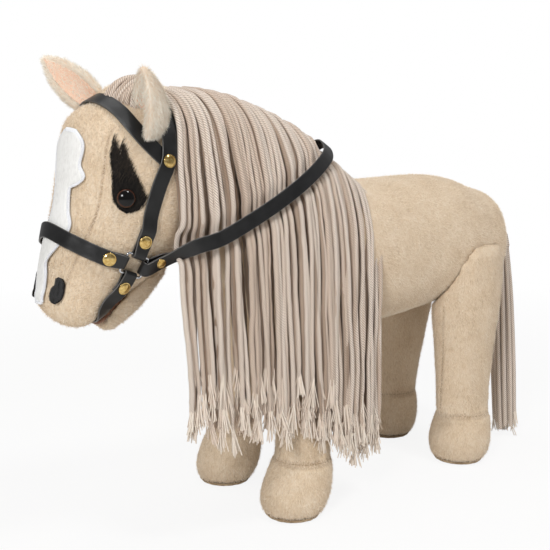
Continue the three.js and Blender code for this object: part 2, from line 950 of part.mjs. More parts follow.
// A whole strap from one ring to the other over the head, folded round a bar at each.
function headStrap(track, directionOf, reach) {
  const half = (side, frame) => {
    const away = directionOf(frame);
    const bar = barOf(frame, away, reach);
    const tip = foldedTip(track, side, bar, away, frame.outward, foldRadius);
    return [...tip, ...trackStations(track, side)];
  };
  const left = half(-1, rings.left);
  const right = half(1, rings.right).slice(0, -1).reverse();
  return smoothStations([...left, ...right], 2);
}

const upward = (frame) => frame.up.clone();
const downward = (frame) => frame.up.clone().negate();
const forwards = (frame) => frame.forward.clone();
const cheekStations = headStrap(cheekTrack, upward, ringHeight);
const noseStations = headStrap(noseTrack, forwards, ringWidth);
const chinStations = headStrap(chinTrack, downward, ringHeight);
const browLeft = trackStations(browTrack, -1);
const browRight = trackStations(browTrack, 1).slice(0, -1).reverse();
const browStations = smoothStations([...browLeft, ...browRight], 2);

const rivetSides = 10;
function rivetShapes(place, outward, top) {
  const base = seamGap;
  const capBase = top + seamGap;
  const profile = [
    [0, base],
    [rivetPostRadius, base],
    [rivetPostRadius, capBase],
    ...rivetDomeShares.map(([out, rise]) => [rivetRadius * out, capBase + rivetDome * rise]),
    [0, capBase + rivetDome],
  ];
  const hole = rivetPostRadius + seamGap;
  const room = rivetRadius + seamGap;
  const roomTop = capBase + rivetDome + seamGap;
  const roomProfile = [[0, 0], [hole, 0], [hole, top], [room, top], [room, roomTop], [0, roomTop]];
  return {
    rivet: turnedPiece(profile, rivetSides, place, outward),
    room: turnedPiece(roomProfile, rivetSides, place, outward),
  };
}

const twoLayers = lowLayer + layerStep + strapThickness / 2;
const rivetPlaces = { cheek: cheekTrack[0], nose: noseTrack[0], chin: chinTrack[0], brow: cheekTrack[4] };
const rivetRooms = [];
for (const [sideName, side] of sides) {
  for (const [label, [along, degrees]] of Object.entries(rivetPlaces)) {
    const { place, outward } = placeOnHead(along, degrees, side);
    const { rivet, room } = rivetShapes(place, outward, twoLayers);
    addPiece(`rivet_${label}_${sideName}`, rivet, colours.brass, 0.25, 1);
    rivetRooms.push(room);
  }
}

const roomWidth = strapWidth + 2 * seamGap;
const roomThickness = strapThickness + 2 * seamGap;
const aroundCheek = strapSolid(cheekStations, roomWidth, roomThickness);
const aroundBrow = strapSolid(browStations, roomWidth, roomThickness);
const aroundChin = strapSolid(chinStations, roomWidth, roomThickness);

// A rectangular wire ring with rounded corners
function ringSolid({ place, outward, up, forward }) {
  const wireSides = 6;
  const corners = [[1, 1], [-1, 1], [-1, -1], [1, -1]];
  const route = corners.flatMap(([a, b], corner) => [0, 1, 2, 3].map((step) => {
    const turn = radians(90 * corner + 30 * step);
    const x = a * (ringWidth / 2 - ringCorner) + ringCorner * Math.cos(turn);
    const y = b * (ringHeight / 2 - ringCorner) + ringCorner * Math.sin(turn);
    const radial = forward.clone().multiplyScalar(Math.cos(turn)).addScaledVector(up, Math.sin(turn));
    return { middle: place.clone().addScaledVector(forward, x).addScaledVector(up, y), radial };
  }));
  const loops = route.map(({ middle, radial }) => Array.from({ length: wireSides }, (_, k) => {
    const angle = radians((360 * k) / wireSides);
    return middle.clone()
      .addScaledVector(radial, ringWire * Math.cos(angle))
      .addScaledVector(outward, ringWire * Math.sin(angle));
  }));
  const places = loops.flat();
  const faces = [];
  for (let ring = 0; ring < loops.length; ring += 1) {
    const nextRing = (ring + 1) % loops.length;
    for (let k = 0; k < wireSides; k += 1) {
      const next = (k + 1) % wireSides;
      const a = ring * wireSides + k;
      const b = ring * wireSides + next;
      const c = nextRing * wireSides + next;
      const d = nextRing * wireSides + k;
      faces.push(a, b, c, a, c, d);
    }
  }
  if (forward.clone().cross(up).dot(outward) > 0) flipFaces(faces);
  return toSolid(indexedGeometry(places, faces));
}

for (const [sideName] of sides) {
  addPiece(`ring_${sideName}`, ringSolid(rings[sideName]), colours.steel, 0.25, 1);
}
function addStrap(name, stations, rooms) {
  const strap = strapSolid(stations, strapWidth, strapThickness);
  addPiece(name, cutBy(strap, ...rooms), colours.leather, 0.4);
}
addStrap('headstall', cheekStations, rivetRooms);
addStrap('noseband', noseStations, rivetRooms);
addStrap('chin_strap', chinStations, [...rivetRooms, aroundHead]);
addStrap('browband', browStations, [...rivetRooms, aroundCheek, aroundHead]);

// The outer face of the mane: share along the crest, share down the strands.
function maneSurface(crest, down) {
  const [run, fall, drop, bulge, endRun] = readShares(crestShares, rowAt(crestShares, crest));
  const [, sideways, drift, tuck] = readShares(strandShares, rowAt(strandShares, down));
  const startX = crestFrontX + run * maneRun;
  const endX = crestFrontX + endRun * maneRun;
  const nearHead = tuck * (1 - crest) ** 3;
  return point(
    startX + (endX - startX) * drift + maneTuck * nearHead,
    -bulge * maneBulge * sideways - maneCheekRoom * nearHead,
    crestTopHeight - fall * maneRun - drop * maneDrop * down,
  );
}

function maneOutward(crest, down) {
  const step = 0.01;
  const lengthwise = maneSurface(crest + step, down).sub(maneSurface(crest - step, down));
  const falling = maneSurface(crest, down + step).sub(maneSurface(crest, down - step));
  return falling.cross(lengthwise).normalize();
}

// Rein

const foldedRein = foldRadius + reinFoldRoom;

function reinHalfTip(side, frame) {
  const away = frame.forward.clone().negate();
  const bar = barOf(frame, away, ringWidth);
  const tip = foldedTip(reinTip, side, bar, away, frame.outward, foldedRein);
  const [rivetRow] = reinTip;
  return [...tip, stationOnHead(rivetRow, side, rivetRow[2] + (3 * reinFoldRoom) / layerStep)];
}

const reinOverMane = reinManeTrack.map(([crest, down]) => {
  const outward = maneOutward(crest, down);
  const place = maneSurface(crest, down).addScaledVector(outward, reinLift);
  return { place, outward };
});
const reinOverNeck = reinNeckTrack.map(([along, degrees, height]) => {
  const distance = along * neckForm.length;
  const outward = neckForm.normal(distance, radians(degrees));
  const place = neckForm.surface(distance, radians(degrees)).addScaledVector(outward, height);
  return { place, outward };
});
const reinStations = smoothStations([
  ...reinHalfTip(-1, rings.left),
  ...reinOverMane,
  ...reinOverNeck,
  ...reinHalfTip(1, rings.right).reverse(),
], 2);
// The rein lifts about the two ring bars that it is folded round.
const reinPivot = barOf(rings.left, rings.left.forward.clone().negate(), ringWidth);
const reinAxis = point(0, -1, 0);
const headMet = sweptRoom(aroundHead, reinPivot, reinAxis, sweepAngles(-reinLiftDegrees, 0));
const reinCuts = [];
for (const [sideName, side] of sides) {
  const { place, outward } = placeOnHead(reinTip[0][0], reinTip[0][1], side);
  const rivet = rivetShapes(place, outward, twoLayers + 2 * reinFoldRoom);
  addPiece(`rivet_rein_${sideName}`, cutBy(rivet.rivet, headMet), colours.brass, 0.25, 1);
  reinCuts.push(rivet.room);
}
addStrap('rein', reinStations, [...reinCuts, headMet]);
const reinRoom = sweptRoom(
  strapSolid(reinStations, roomWidth + 2 * seamGap, roomThickness + reinManeRoom),
  reinPivot,
  reinAxis,
  sweepAngles(0, reinLiftDegrees),
);

addPiece('head', plainHead.subtract(eyePockets), colours.pile);


// Jaw and the lining of the mouth

const jawDirection = point(Math.cos(radians(jawSlope)), 0, Math.sin(radians(jawSlope)));
const jawPoint = point(jawX, 0, jawHeight);
const jawForm = softForm({
  start: jawPoint,
  end: jawPoint.clone().addScaledVector(jawDirection, jawLength),
  wide: jawHalfWidth,
  up: jawRise,
  down: jawDrop,
  shares: jawShares,
  startRound: jawRound,
  endRound: jawRound,
});
const liningPoint = point(liningX, 0, liningHeight);
const liningForm = softForm({
  start: liningPoint,
  end: liningPoint.clone().addScaledVector(jawDirection, liningLength),
  wide: liningHalfWidth,
  up: liningHalfThickness,
  down: liningHalfThickness,
  shares: jawShares,
  startRound: jawRound,
  endRound: jawRound,
});
const liningDetail = { sides: 12, rings: 2, capRings: 2 };
const aroundLining = formSolid(liningForm, { ...liningDetail, grow: seamGap });
const mouthLining = formSolid(liningForm, liningDetail);
addPiece('mouth_lining', cutBy(mouthLining, aroundHead, aroundChin), colours.mouth);
const jaw = formSolid(jawForm, { sides: 14, rings: 5, capRings: 3 });
addPiece('lower_jaw', cutBy(jaw, aroundHead, aroundNeck, aroundChin, aroundLining), colours.pile);

// Ears

// The outline across an ear: a back arc and, the other way round, a front arc.
function crescent({ root, up, facing, across, cup: deepest }, distance, back, front) {
  const steps = 7;
  const spread = radians(earSpread);
  const middle = root.clone().addScaledVector(up, distance).addScaledVector(facing, deepest / 2);
  const arc = ({ halfWidth, cup, rim }, direction) => Array.from({ length: steps + 1 }, (_, k) => {
    const angle = spread * ((2 * k) / steps - 1) * direction;
    const depth = (Math.cos(angle) - Math.cos(spread)) / (1 - Math.cos(spread));
    return middle.clone()
      .addScaledVector(across, (halfWidth * Math.sin(angle)) / Math.sin(spread))
      .addScaledVector(facing, rim - cup * depth);
  });
  return [...arc(back, 1), ...arc(front, -1)];
}

function earFrame({ alongShare, degrees, lean, facing, cup }, side) {
  const root = headForm.surface(alongShare * headLength, radians(degrees));
  const turned = ([forward, outward, up]) => point(-forward, outward * side, up).normalize();
  const up = turned(lean);
  const opening = turned(facing);
  opening.addScaledVector(up, -opening.dot(up)).normalize();
  return { root, up, facing: opening, across: up.clone().cross(opening).normalize(), cup };
}

// An ear is lofted from its base to its tip; outline gives the back and front arcs from
// the half-width, the cup and the wall thickness at each height.
function earSolid(frame, { length, cup }, outline) {
  const rows = 8;
  const loops = Array.from({ length: rows + 1 }, (_, row) => {
    const along = row / rows;
    const [, widthShare, cupShare] = readShares(earShares, rowAt(earShares, along));
    const distance = along * (length + earBaseDrop) - earBaseDrop;
    const wall = earThickness * (1 + widthShare) / 2;
    const { back, front } = outline(earHalfWidth * widthShare, cup * cupShare, wall);
    return crescent(frame, distance, back, front);
  });
  return toSolid(ringsGeometry(loops, centreOf(loops[0]), centreOf(loops.at(-1))));
}

function hollowOf(halfWidth, cup, wall) {
  return { halfWidth: Math.max(halfWidth - wall * earRimShare, wall / 5), cup: Math.max(cup - wall, 0) };
}

const plushOutline = (grow) => (halfWidth, cup, wall) => ({
  back: { halfWidth: halfWidth + grow, cup: cup + grow, rim: 0 },
  front: { ...hollowOf(halfWidth, cup, wall + grow), rim: wall / 3 + grow },
});
const liningOutline = (halfWidth, cup, wall) => {
  const hollow = hollowOf(halfWidth, cup, wall);
  const inset = { halfWidth: hollow.halfWidth * earRimShare, cup: hollow.cup };
  return {
    back: { ...inset, rim: 0 },
    front: { ...inset, rim: wall / 3 + earLiningThickness },
  };
};
const roomOutline = (halfWidth, cup) => ({
  back: { halfWidth: halfWidth + earRoom, cup: cup + earRoom, rim: 0 },
  front: { halfWidth: halfWidth + earRoom, cup: 0, rim: earRoom },
});

const earRooms = [];
const earAngles = sweepAngles(-earSweep, earSweep);
for (const [sideName, side] of sides) {
  const frame = earFrame(earPlaces[sideName], side);
  const nearby = aroundHead.add(aroundCheek).add(aroundBrow);
  const room = sweptRoom(nearby, frame.root, frame.across, earAngles);
  const ear = earSolid(frame, earPlaces[sideName], plushOutline(0));
  const aroundEar = earSolid(frame, earPlaces[sideName], plushOutline(seamGap));
  const lining = earSolid(frame, earPlaces[sideName], liningOutline);
  addPiece(`ear_${sideName}`, cutBy(ear, room), colours.pile);
  addPiece(`ear_lining_${sideName}`, cutBy(lining, room, aroundEar), colours.earLining);
  const whole = earSolid(frame, earPlaces[sideName], roomOutline);
  earRooms.push(sweptRoom(whole, frame.root, frame.across, sweepAngles(-earSweep, earSweep, 2)));
}
const earsRoom = unionOf(earRooms);

// Mane

function maneLock(index, detail, grow = 0) {
  const inset = seamGap / 2 / maneRun;
  const first = index / maneLockCount + inset;
  const last = (index + 1) / maneLockCount - inset;
  const outer = [];
  const inner = [];
  for (let row = 0; row <= detail.rows; row += 1) {
    const down = row / detail.rows;
    const thickness = maneThickness * readShares(strandShares, rowAt(strandShares, down))[4];
    const outerRow = [];
    const innerRow = [];
    for (let column = 0; column <= detail.columns; column += 1) {
      const share = column / detail.columns;
      const crest = first + (last - first) * share;
      const outward = maneOutward(crest, down);
      const swell = maneLockSwell * (1 - (2 * share - 1) ** 2);
      const place = maneSurface(crest, down);
      outerRow.push(place.clone().addScaledVector(outward, swell - maneLockSwell + grow));
      innerRow.push(place.clone().addScaledVector(outward, -thickness - maneLockSwell));
    }
    outer.push(outerRow);
    inner.push(innerRow);
  }
  return sheetSolid(outer, inner, true);
}

// A big block that fills all space below a height, for cutting across the mane
function blockBelow(height) {
  const reach = 2 * torsoLength + maneRun;
  const block = new THREE.BoxGeometry(2 * reach, 2 * reach, reach);
  block.translate(0, 0, height - reach / 2);
  return toSolid(block);
}

const maneDetail = { rows: 10, columns: 3 };
const maneRoom = unionOf([
  leftFrontLegRoom, aroundTorso, aroundHead, aroundNeck, aroundCheek, aroundBrow, reinRoom, earsRoom,
  ...rivetRooms,
]);
const belowSwing = blockBelow(maneSwingHeight);
const aboveGap = blockBelow(maneSwingHeight + seamGap);
const maneLocks = Array.from({ length: maneLockCount }, (_, index) => maneLock(index, maneDetail));
const maneAbove = maneLocks.map((lock) => cutBy(lock, maneRoom, aboveGap));
const maneBelow = maneLocks.map((lock) => cutBy(lock.intersect(belowSwing), maneRoom));
// The lower ends swing out as one, about a line through the middle of their weight.
const manePivot = point(0, maneHingeSide, maneSwingHeight);
const maneAxis = point(-1, 0, 0);
const maneAngles = sweepAngles(-maneLiftDegrees, 0);
const aboveSwing = unionOf(maneLocks.map((_, index) => maneLock(index, maneDetail, 2 * seamGap)))
  .subtract(belowSwing);
const maneSwingRoom = sweptRoom(aboveSwing, manePivot, maneAxis, maneAngles)
  .add(sweptRoom(leftFrontLegRoom.add(aroundTorso), manePivot, maneAxis, maneAngles));
maneAbove.forEach((lock, index) => {
  addPiece(`mane_lock_${index + 1}`, lock, colours.yarn);
  addPiece(`mane_end_${index + 1}`, cutBy(maneBelow[index], maneSwingRoom), colours.yarn);
});

// Tail

const tailRootForm = softForm({
  start: point(tailRootX, tailTopSide, tailRootHeight - tailRootRadius),
  end: point(tailRootX, tailTopSide, tailRootHeight),
  wide: tailRootRadius,
  up: tailRootRadius,
  down: tailRootRadius,
  shares: tailRootShares,
  startRound: tailRootRadius,
  endRound: tailRootRadius / 2,
  level: true,
});
const tailRoot = formSolid(tailRootForm, { sides: 14, rings: 2, capRings: 2, flatStart: true });
const tailForm = softForm({
  start: point(tailEndX, tailEndSide, tailEndHeight),
  end: point(tailRootX + tailHairOut, tailTopSide, tailRootHeight - tailRootRadius - seamGap),
  wide: tailHalfWidth,
  up: tailHalfWidth,
  down: tailHalfWidth,
  shares: tailShares,
  startRound: tailHalfWidth,
  endRound: tailHalfWidth,
  level: true,
});
const tail = formSolid(tailForm, { sides: 14, rings: 7, flatStart: true, flatEnd: true });
const tailPivot = point(tailRootX, tailTopSide, tailRootHeight - tailRootRadius / 2);
const tailRoom = sweptRoom(aroundTorso, tailPivot, point(0, -1, 0), sweepAngles(-tailLiftDegrees, 0));
const swings = sweepAngles(-tailSwingDegrees, tailSwingDegrees);
const tailHairRoom = sweptRoom(tailRoom.add(tailRoot), tailPivot, point(1, 0, 0), swings);
addPiece('tail_root', cutBy(tailRoot, tailRoom), colours.yarn);
addPiece('tail_hair', cutBy(tail, tailHairRoom), colours.yarn);

export default horse;
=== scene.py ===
import math

import bmesh
import bpy
import numpy as np
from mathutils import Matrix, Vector
from mathutils.bvhtree import BVHTree
from mathutils.kdtree import KDTree


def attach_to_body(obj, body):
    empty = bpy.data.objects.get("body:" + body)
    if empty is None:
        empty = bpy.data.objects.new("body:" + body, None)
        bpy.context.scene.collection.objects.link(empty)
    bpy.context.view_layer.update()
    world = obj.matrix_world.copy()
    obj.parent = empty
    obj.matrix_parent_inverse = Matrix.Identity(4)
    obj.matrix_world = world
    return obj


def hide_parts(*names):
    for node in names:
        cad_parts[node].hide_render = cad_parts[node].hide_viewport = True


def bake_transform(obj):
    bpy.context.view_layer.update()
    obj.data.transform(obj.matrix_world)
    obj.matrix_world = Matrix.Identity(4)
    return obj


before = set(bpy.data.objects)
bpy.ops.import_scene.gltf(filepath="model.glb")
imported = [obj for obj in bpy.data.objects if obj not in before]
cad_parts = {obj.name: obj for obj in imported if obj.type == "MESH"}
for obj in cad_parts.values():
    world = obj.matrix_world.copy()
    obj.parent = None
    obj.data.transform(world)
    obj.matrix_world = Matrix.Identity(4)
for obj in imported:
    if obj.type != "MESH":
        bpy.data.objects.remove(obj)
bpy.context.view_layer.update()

# Camera
# The photograph looks at the horse's left side from a little in front and above, from
# about 0.7 m, which is close enough to make the head look large.
photo_pixels = 550
focal_pixels = 860
sensor_width = 36
camera_place = (-0.4788, -0.5623, 0.2947)
camera_azimuth = -38
camera_elevation = 8.46
camera_nearest = 0.01


def linked(name, data):
    """An object of the scene that holds this data."""
    thing = bpy.data.objects.new(name, data)
    bpy.context.scene.collection.objects.link(thing)
    return thing


camera_data = bpy.data.cameras.new("camera")
camera_data.sensor_width = sensor_width
camera_data.lens = sensor_width * focal_pixels / photo_pixels
camera_data.clip_start = camera_nearest
camera = linked("camera", camera_data)
camera.location = camera_place
camera.rotation_euler = (
    math.radians(90 - camera_elevation),
    0,
    math.radians(camera_azimuth),
)
bpy.context.scene.camera = camera
bpy.context.scene.view_settings.view_transform = "Standard"


# Light and floor
# A white studio: a soft lamp low in front on the left, a stronger one high over the left
# side and a wide one above, over a white floor that keeps a faint shadow.
def linear(red, green, blue):
    """A colour as it is seen on a screen, 0 to 255, as the linear values that shaders use."""
    values = []
    for value in (red, green, blue):
        share = value / 255
        values.append(share / 12.92 if share <= 0.04045 else ((share + 0.055) / 1.055) ** 2.4)
    return (*values, 1)


def add_lamp(name, place, size, power):
    """A round soft lamp that looks at the middle of the horse."""
    data = bpy.data.lights.new(name, "AREA")
    data.shape = "DISK"
    data.size = size
    data.energy = power
    lamp = linked(name, data)
    lamp.location = place
    direction = Vector(lamp_aim) - Vector(place)
    lamp.rotation_euler = direction.to_track_quat("-Z", "Y").to_euler()


class Nodes:
    """Adds nodes to a tree and links them, so that a material reads as a short list."""

    def __init__(self, tree):
        self.tree = tree
        self.tree.nodes.clear()

    def add(self, kind, inputs=None, **settings):
        """Adds a node with its settings, and sets or links its inputs."""
        node = self.tree.nodes.new(kind)
        for key, value in settings.items():
            setattr(node, key, value)
        for key, value in (inputs or {}).items():
            if isinstance(value, bpy.types.NodeSocket):
                self.tree.links.new(value, node.inputs[key])
            else:
                node.inputs[key].default_value = value
        return node

    def math(self, operation, first, second=0.0, third=0.0):
        node = self.add("ShaderNodeMath", {0: first, 1: second, 2: third}, operation=operation)
        return node.outputs[0]

    def vector(self, operation, first, second):
        """A vector plus another one, or times a number for SCALE."""
        key = "Scale" if operation == "SCALE" else 1
        return self.add("ShaderNodeVectorMath", {0: first, key: second}, operation=operation).outputs[0]

    def ramp(self, factor, stops):
        node = self.add("ShaderNodeValToRGB", {"Fac": factor})
        elements = node.color_ramp.elements
        while len(elements) < len(stops):
            elements.new(1)
        for element, (position, colour) in zip(elements, stops):
            element.position = position
            element.color = colour
        return node.outputs["Color"]

    def mix(self, factor, first, second):
        node = self.add("ShaderNodeMix", {"Factor": factor, 6: first, 7: second}, data_type="RGBA")
        return node.outputs[2]

    def noise(self, place, scale, detail, stretch=(1, 1, 1)):
        """Soft noise at a place, drawn out or squeezed along each axis."""
        mapped = self.add("ShaderNodeMapping", {"Vector": place, "Scale": stretch})
        return self.add(
            "ShaderNodeTexNoise",
            {"Vector": mapped.outputs[0], "Scale": scale, "Detail": detail},
        ).outputs["Fac"]

    def weighted(self, *parts):
        """A sum of values, each times its weight."""
        total = 0
        for value, weight in parts:
            total = self.math("MULTIPLY_ADD", value, weight, total)
        return total

    def stored(self, name, output="Fac"):
        """A value that the mesh carries under this name."""
        return self.add("ShaderNodeAttribute", attribute_name=name).outputs[output]

    def bump(self, height, strength, distance, below=None):
        """A relief, laid over another one where that is given."""
        inputs = {"Height": height, "Strength": strength, "Distance": distance}
        if below:
            inputs["Normal"] = below
        return self.add("ShaderNodeBump", inputs).outputs[0]

    def surface(self, inputs):
        """Ends a material in one shader and returns the material."""
        shader = self.add("ShaderNodeBsdfPrincipled", inputs)
        self.add("ShaderNodeOutputMaterial", {"Surface": shader.outputs[0]})
        return self.material


def new_material(name):
    """The nodes of an empty material, and the places on its object."""
    material = bpy.data.materials.new(name)
    material.use_nodes = True
    nodes = Nodes(material.node_tree)
    nodes.material = material
    return nodes, nodes.add("ShaderNodeTexCoord").outputs["Object"]


world = bpy.data.worlds.new("studio")
bpy.context.scene.world = world
world.use_nodes = True
sky = Nodes(world.node_tree)
world_strength = 0.3
rays = sky.add("ShaderNodeLightPath")
seen = sky.math("MAXIMUM", rays.outputs["Is Camera Ray"], rays.outputs["Is Transmission Ray"])
strength = sky.math("ADD", sky.math("MULTIPLY", seen, 1 - world_strength), world_strength)
backdrop = sky.add("ShaderNodeBackground", {"Color": (1, 1, 1, 1), "Strength": strength})
sky.add("ShaderNodeOutputWorld", {"Surface": backdrop.outputs[0]})

lamp_aim = (0, 0, 0.15)
lamps = {
    "key_lamp": ((-1.15, -0.75, 0.85), 0.36, 9),
    "side_lamp": ((0.2, -0.95, 2.1), 0.5, 15),
    "top_lamp": ((0.0, 0.3, 2.0), 1.2, 7),
}
for lamp_name, (place, size, power) in lamps.items():
    add_lamp(lamp_name, place, size, power)

floor_half = 6.0
floor_shade_start = 0.45
floor_shade_end = 1.2
floor_shade_share = 0.12


def floor_material():
    """A white floor that shows the object's shadow and is lit white further out."""
    nodes, place = new_material("studio_floor")
    distance = nodes.add("ShaderNodeVectorMath", {0: place}, operation="LENGTH").outputs["Value"]
    fade = nodes.add(
        "ShaderNodeMapRange",
        {"Value": distance, 1: floor_shade_start, 2: floor_shade_end, 3: floor_shade_share, 4: 0.0},
    ).outputs[0]
    seen_by = nodes.add("ShaderNodeLightPath").outputs["Is Camera Ray"]
    lit_share = nodes.math("ADD", nodes.math("MULTIPLY", seen_by, nodes.math("SUBTRACT", fade, 1)), 1)
    lit = nodes.add("ShaderNodeBsdfDiffuse", {"Color": linear(244, 243, 241)})
    white = nodes.add("ShaderNodeEmission", {"Color": (1, 1, 1, 1), "Strength": 1.0})
    both = nodes.add("ShaderNodeMixShader", {0: lit_share, 1: white.outputs[0], 2: lit.outputs[0]})
    nodes.add("ShaderNodeOutputMaterial", {"Surface": both.outputs[0]})
    return nodes.material


floor_corners = [(-1, -1), (1, -1), (1, 1), (-1, 1)]
floor_mesh = bpy.data.meshes.new("floor")
floor_places = [(x * floor_half, y * floor_half, 0) for x, y in floor_corners]
floor_mesh.from_pydata(floor_places, [], [(0, 1, 2, 3)])
floor_mesh.materials.append(floor_material())
floor = linked("floor", floor_mesh)


# Plush skin of the torso
# The body is sewn from short-pile polyester plush and stuffed with fibre. The pile lies
# towards the tail, so the cloth looks streaked and patchy, and its seams are painted darker
# as shade in their grooves.
millimetre = 0.001
origin_forward = 45.8
origin_side = 1.5
pile_colour = linear(226, 205, 177)
pile_dark = linear(199, 174, 143)
pile_light = linear(241, 226, 206)
# Painted shade: the darker colour laid along the seam grooves.
seam_shade_colour = linear(138, 108, 80)
pile_roughness = 0.92


def to_frame(places):
    """Places of the drawing, in millimetres, as places in the frame, in metres."""
    return (np.asarray(places, float) + (origin_forward, origin_side, 0)) * millimetre


def from_frame(places):
    """Places in the frame, in metres, as places of the drawing, in millimetres."""
    return np.asarray(places) / millimetre - (origin_forward, origin_side, 0)


def pile_material(name, base, dark, light, streak=0.0006, sheen=0.4):
    """Short pile: fine streaks along it, soft patches where it lies another way, and painted shade
    along its seams.
    """
    nodes, place = new_material(name)
    patches = nodes.noise(place, 38, 3)
    tufts = nodes.noise(place, 210, 3, (1, 1, 0.6))
    streaks = nodes.noise(place, 900, 2, (1, 1, 0.32))
    mixed = nodes.weighted((patches, 0.3), (tufts, 0.25), (streaks, 0.45))
    colour = nodes.ramp(mixed, [(0.3, dark), (0.5, base), (0.72, light)])
    low = nodes.bump(tufts, 0.6, 3 * streak)
    return nodes.surface({
        # The seam mark mixes painted shade into the seam grooves.
        "Base Color": nodes.mix(nodes.stored("seam"), colour, seam_shade_colour),
        "Roughness": pile_roughness,
        "Sheen Weight": sheen,
        "Sheen Roughness": 0.45,
        "Sheen Tint": light,
        "Specular IOR Level": 0.1,
        "Normal": nodes.bump(streaks, 0.8, streak, low),
    })


table_steps = 24


def smooth_table(shares):
    """Reads a table of shares smoothly between its rows, by its first column."""
    rows = np.array(shares, float)
    last = len(rows) - 1
    fine = []
    for step in range(last * table_steps + 1):
        low = min(step // table_steps, last - 1)
        part = step / table_steps - low
        a, b, c, d = (rows[min(max(k, 0), last)] for k in range(low - 1, low + 3))
        cubic = 3 * b - a - 3 * c + d
        square = 2 * a - 5 * b + 4 * c - d
        fine.append(b + 0.5 * part * (c - a + part * (square + part * cubic)))
    fine = np.array(fine)
    return lambda along: [np.interp(along, fine[:, 0], column) for column in fine.T[1:]]


class SoftForm:
    """A stuffed form round a straight axis. Angles go round it from its left side, 0, over
    its top, 90. A level form stands, and its top is then its front."""

    def __init__(self, start, end, wide, up, down, shares, rounds, fullness=2.0, lower=None):
        self.start = np.array(start, float)
        axis = np.array(end, float) - self.start
        self.length = np.linalg.norm(axis)
        self.forward = axis / self.length
        self.side = np.array((0.0, 1.0, 0.0))
        self.top = np.cross(self.forward, self.side)
        self.wide, self.up, self.down = wide, up, down
        self.rounds = rounds
        self.powers = (2 / fullness, 2 / (lower or fullness))
        self.table = smooth_table(shares)

    def surface(self, distance, degrees):
        """Places on the skin at distances along the axis and degrees round it."""
        distance = np.asarray(distance, float)
        angle = np.radians(np.asarray(degrees, float))
        inside = np.clip(distance, 0, self.length)
        over = distance - inside
        radius = np.where(over > 0, self.rounds[1], self.rounds[0])
        cap = np.sqrt(np.clip(1 - (over / radius) ** 2, 0, None))
        wide, up, down = self.table(inside / self.length)
        cosine, sine = np.cos(angle), np.sin(angle)
        power = np.where(sine > 0, *self.powers)
        across = -np.sign(cosine) * np.abs(cosine) ** power * (self.wide * wide)
        depth = np.where(sine > 0, self.up * up, self.down * down)
        rise = np.sign(sine) * np.abs(sine) ** power * depth
        return (
            self.start
            + distance[..., None] * self.forward
            + (across * cap)[..., None] * self.side
            + (rise * cap)[..., None] * self.top
        )

    def normal(self, distance, degrees):
        """The outward directions there."""
        step = self.length / 200
        along = self.surface(distance + step, degrees) - self.surface(distance - step, degrees)
        around = self.surface(distance, degrees + 1) - self.surface(distance, degrees - 1)
        crossed = np.cross(along, around)
        return crossed / np.linalg.norm(crossed, axis=-1, keepdims=True)


def new_object(name, places, faces=(), edges=()):
    """A mesh object from places in millimetres."""
    mesh = bpy.data.meshes.new(name)
    mesh.from_pydata(to_frame(places).tolist(), edges, faces)
    mesh.validate()
    mesh.update()
    mesh.shade_smooth()
    return linked(name, mesh)


def grid_faces(rows, columns, closed=True):
    """Faces between rows of points, where each row is a ring if closed."""
    faces = []
    for row in range(rows - 1):
        for column in range(columns if closed else columns - 1):
            right = (column + 1) % columns
            faces.append((
                row * columns + column,
                row * columns + right,
                (row + 1) * columns + right,
                (row + 1) * columns + column,
            ))
    return faces


def tube_faces(rows, sides):
    """Faces of a tube of rings with a flat face at each end."""
    first = tuple(range(sides))
    last = tuple(reversed(range((rows - 1) * sides, rows * sides)))
    return [*grid_faces(rows, sides), first, last]


def form_object(name, form, sides=56, rings=36, cap_rings=9):
    """The whole skin of a soft form, closed by a point at each end."""
    start_round, end_round = form.rounds
    turns = np.linspace(0, math.pi / 2, cap_rings, endpoint=False)
    first = -start_round * np.sin(turns[:0:-1])
    middle = np.linspace(0, form.length, rings)
    last = form.length + end_round * np.sin(turns[1:])
    distances = np.concatenate([first, middle, last])
    degrees = np.arange(sides) * 360 / sides
    loops = form.surface(distances[:, None] + 0 * degrees, degrees + 0 * distances[:, None])
    poles = form.start + np.outer((-start_round, form.length + end_round), form.forward)
    places = np.concatenate([loops.reshape(-1, 3), poles])
    faces = grid_faces(len(distances), sides)
    start_pole = len(places) - 2
    last_ring = start_pole - sides
    for k in range(sides):
        right = (k + 1) % sides
        faces.append((start_pole, right, k))
        faces.append((start_pole + 1, last_ring + k, last_ring + right))
    piece = new_object(name, places, faces)
    face_outwards(piece)
    return piece


def face_outwards(piece):
    """Turns all faces outwards."""
    work = bmesh.new()
    work.from_mesh(piece.data)
    bmesh.ops.recalc_face_normals(work, faces=work.faces)
    work.to_mesh(piece.data)
    work.free()


merge_distance = 0.00005


def copy_of(node, name):
    """A merged copy of a CAD node's mesh, to dress as its own piece."""
    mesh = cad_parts[node].data.copy()
    work = bmesh.new()
    work.from_mesh(mesh)
    bmesh.ops.remove_doubles(work, verts=work.verts, dist=merge_distance)
    bmesh.ops.recalc_face_normals(work, faces=work.faces)
    work.to_mesh(mesh)
    work.free()
    mesh.materials.clear()
    return linked(name, mesh)


def keep_result(piece):
    """Makes what the modifiers give the piece's own mesh and takes them off."""
    bpy.context.view_layer.update()
    graph = bpy.context.evaluated_depsgraph_get()
    result = bpy.data.meshes.new_from_object(piece.evaluated_get(graph), depsgraph=graph)
    piece.modifiers.clear()
    old = piece.data
    piece.data = result
    result.name = piece.name
    if old.users == 0:
        bpy.data.meshes.remove(old)


def set_all(thing, settings):
    """Sets every named value of a modifier, a texture or their settings."""
    for key, value in settings.items():
        setattr(thing, key, value)


def bake(piece, *modifiers):
    """Adds modifiers given as (kind, settings) and makes their result the mesh."""
    for kind, settings in modifiers:
        set_all(piece.modifiers.new(kind.lower(), kind), settings)
    keep_result(piece)


def read_points(piece, what):
    """One vector for each point of a mesh."""
    values = np.empty(len(piece.data.vertices) * 3)
    piece.data.vertices.foreach_get(what, values)
    return values.reshape(-1, 3)


def places_of(piece):
    return read_points(piece, "co")


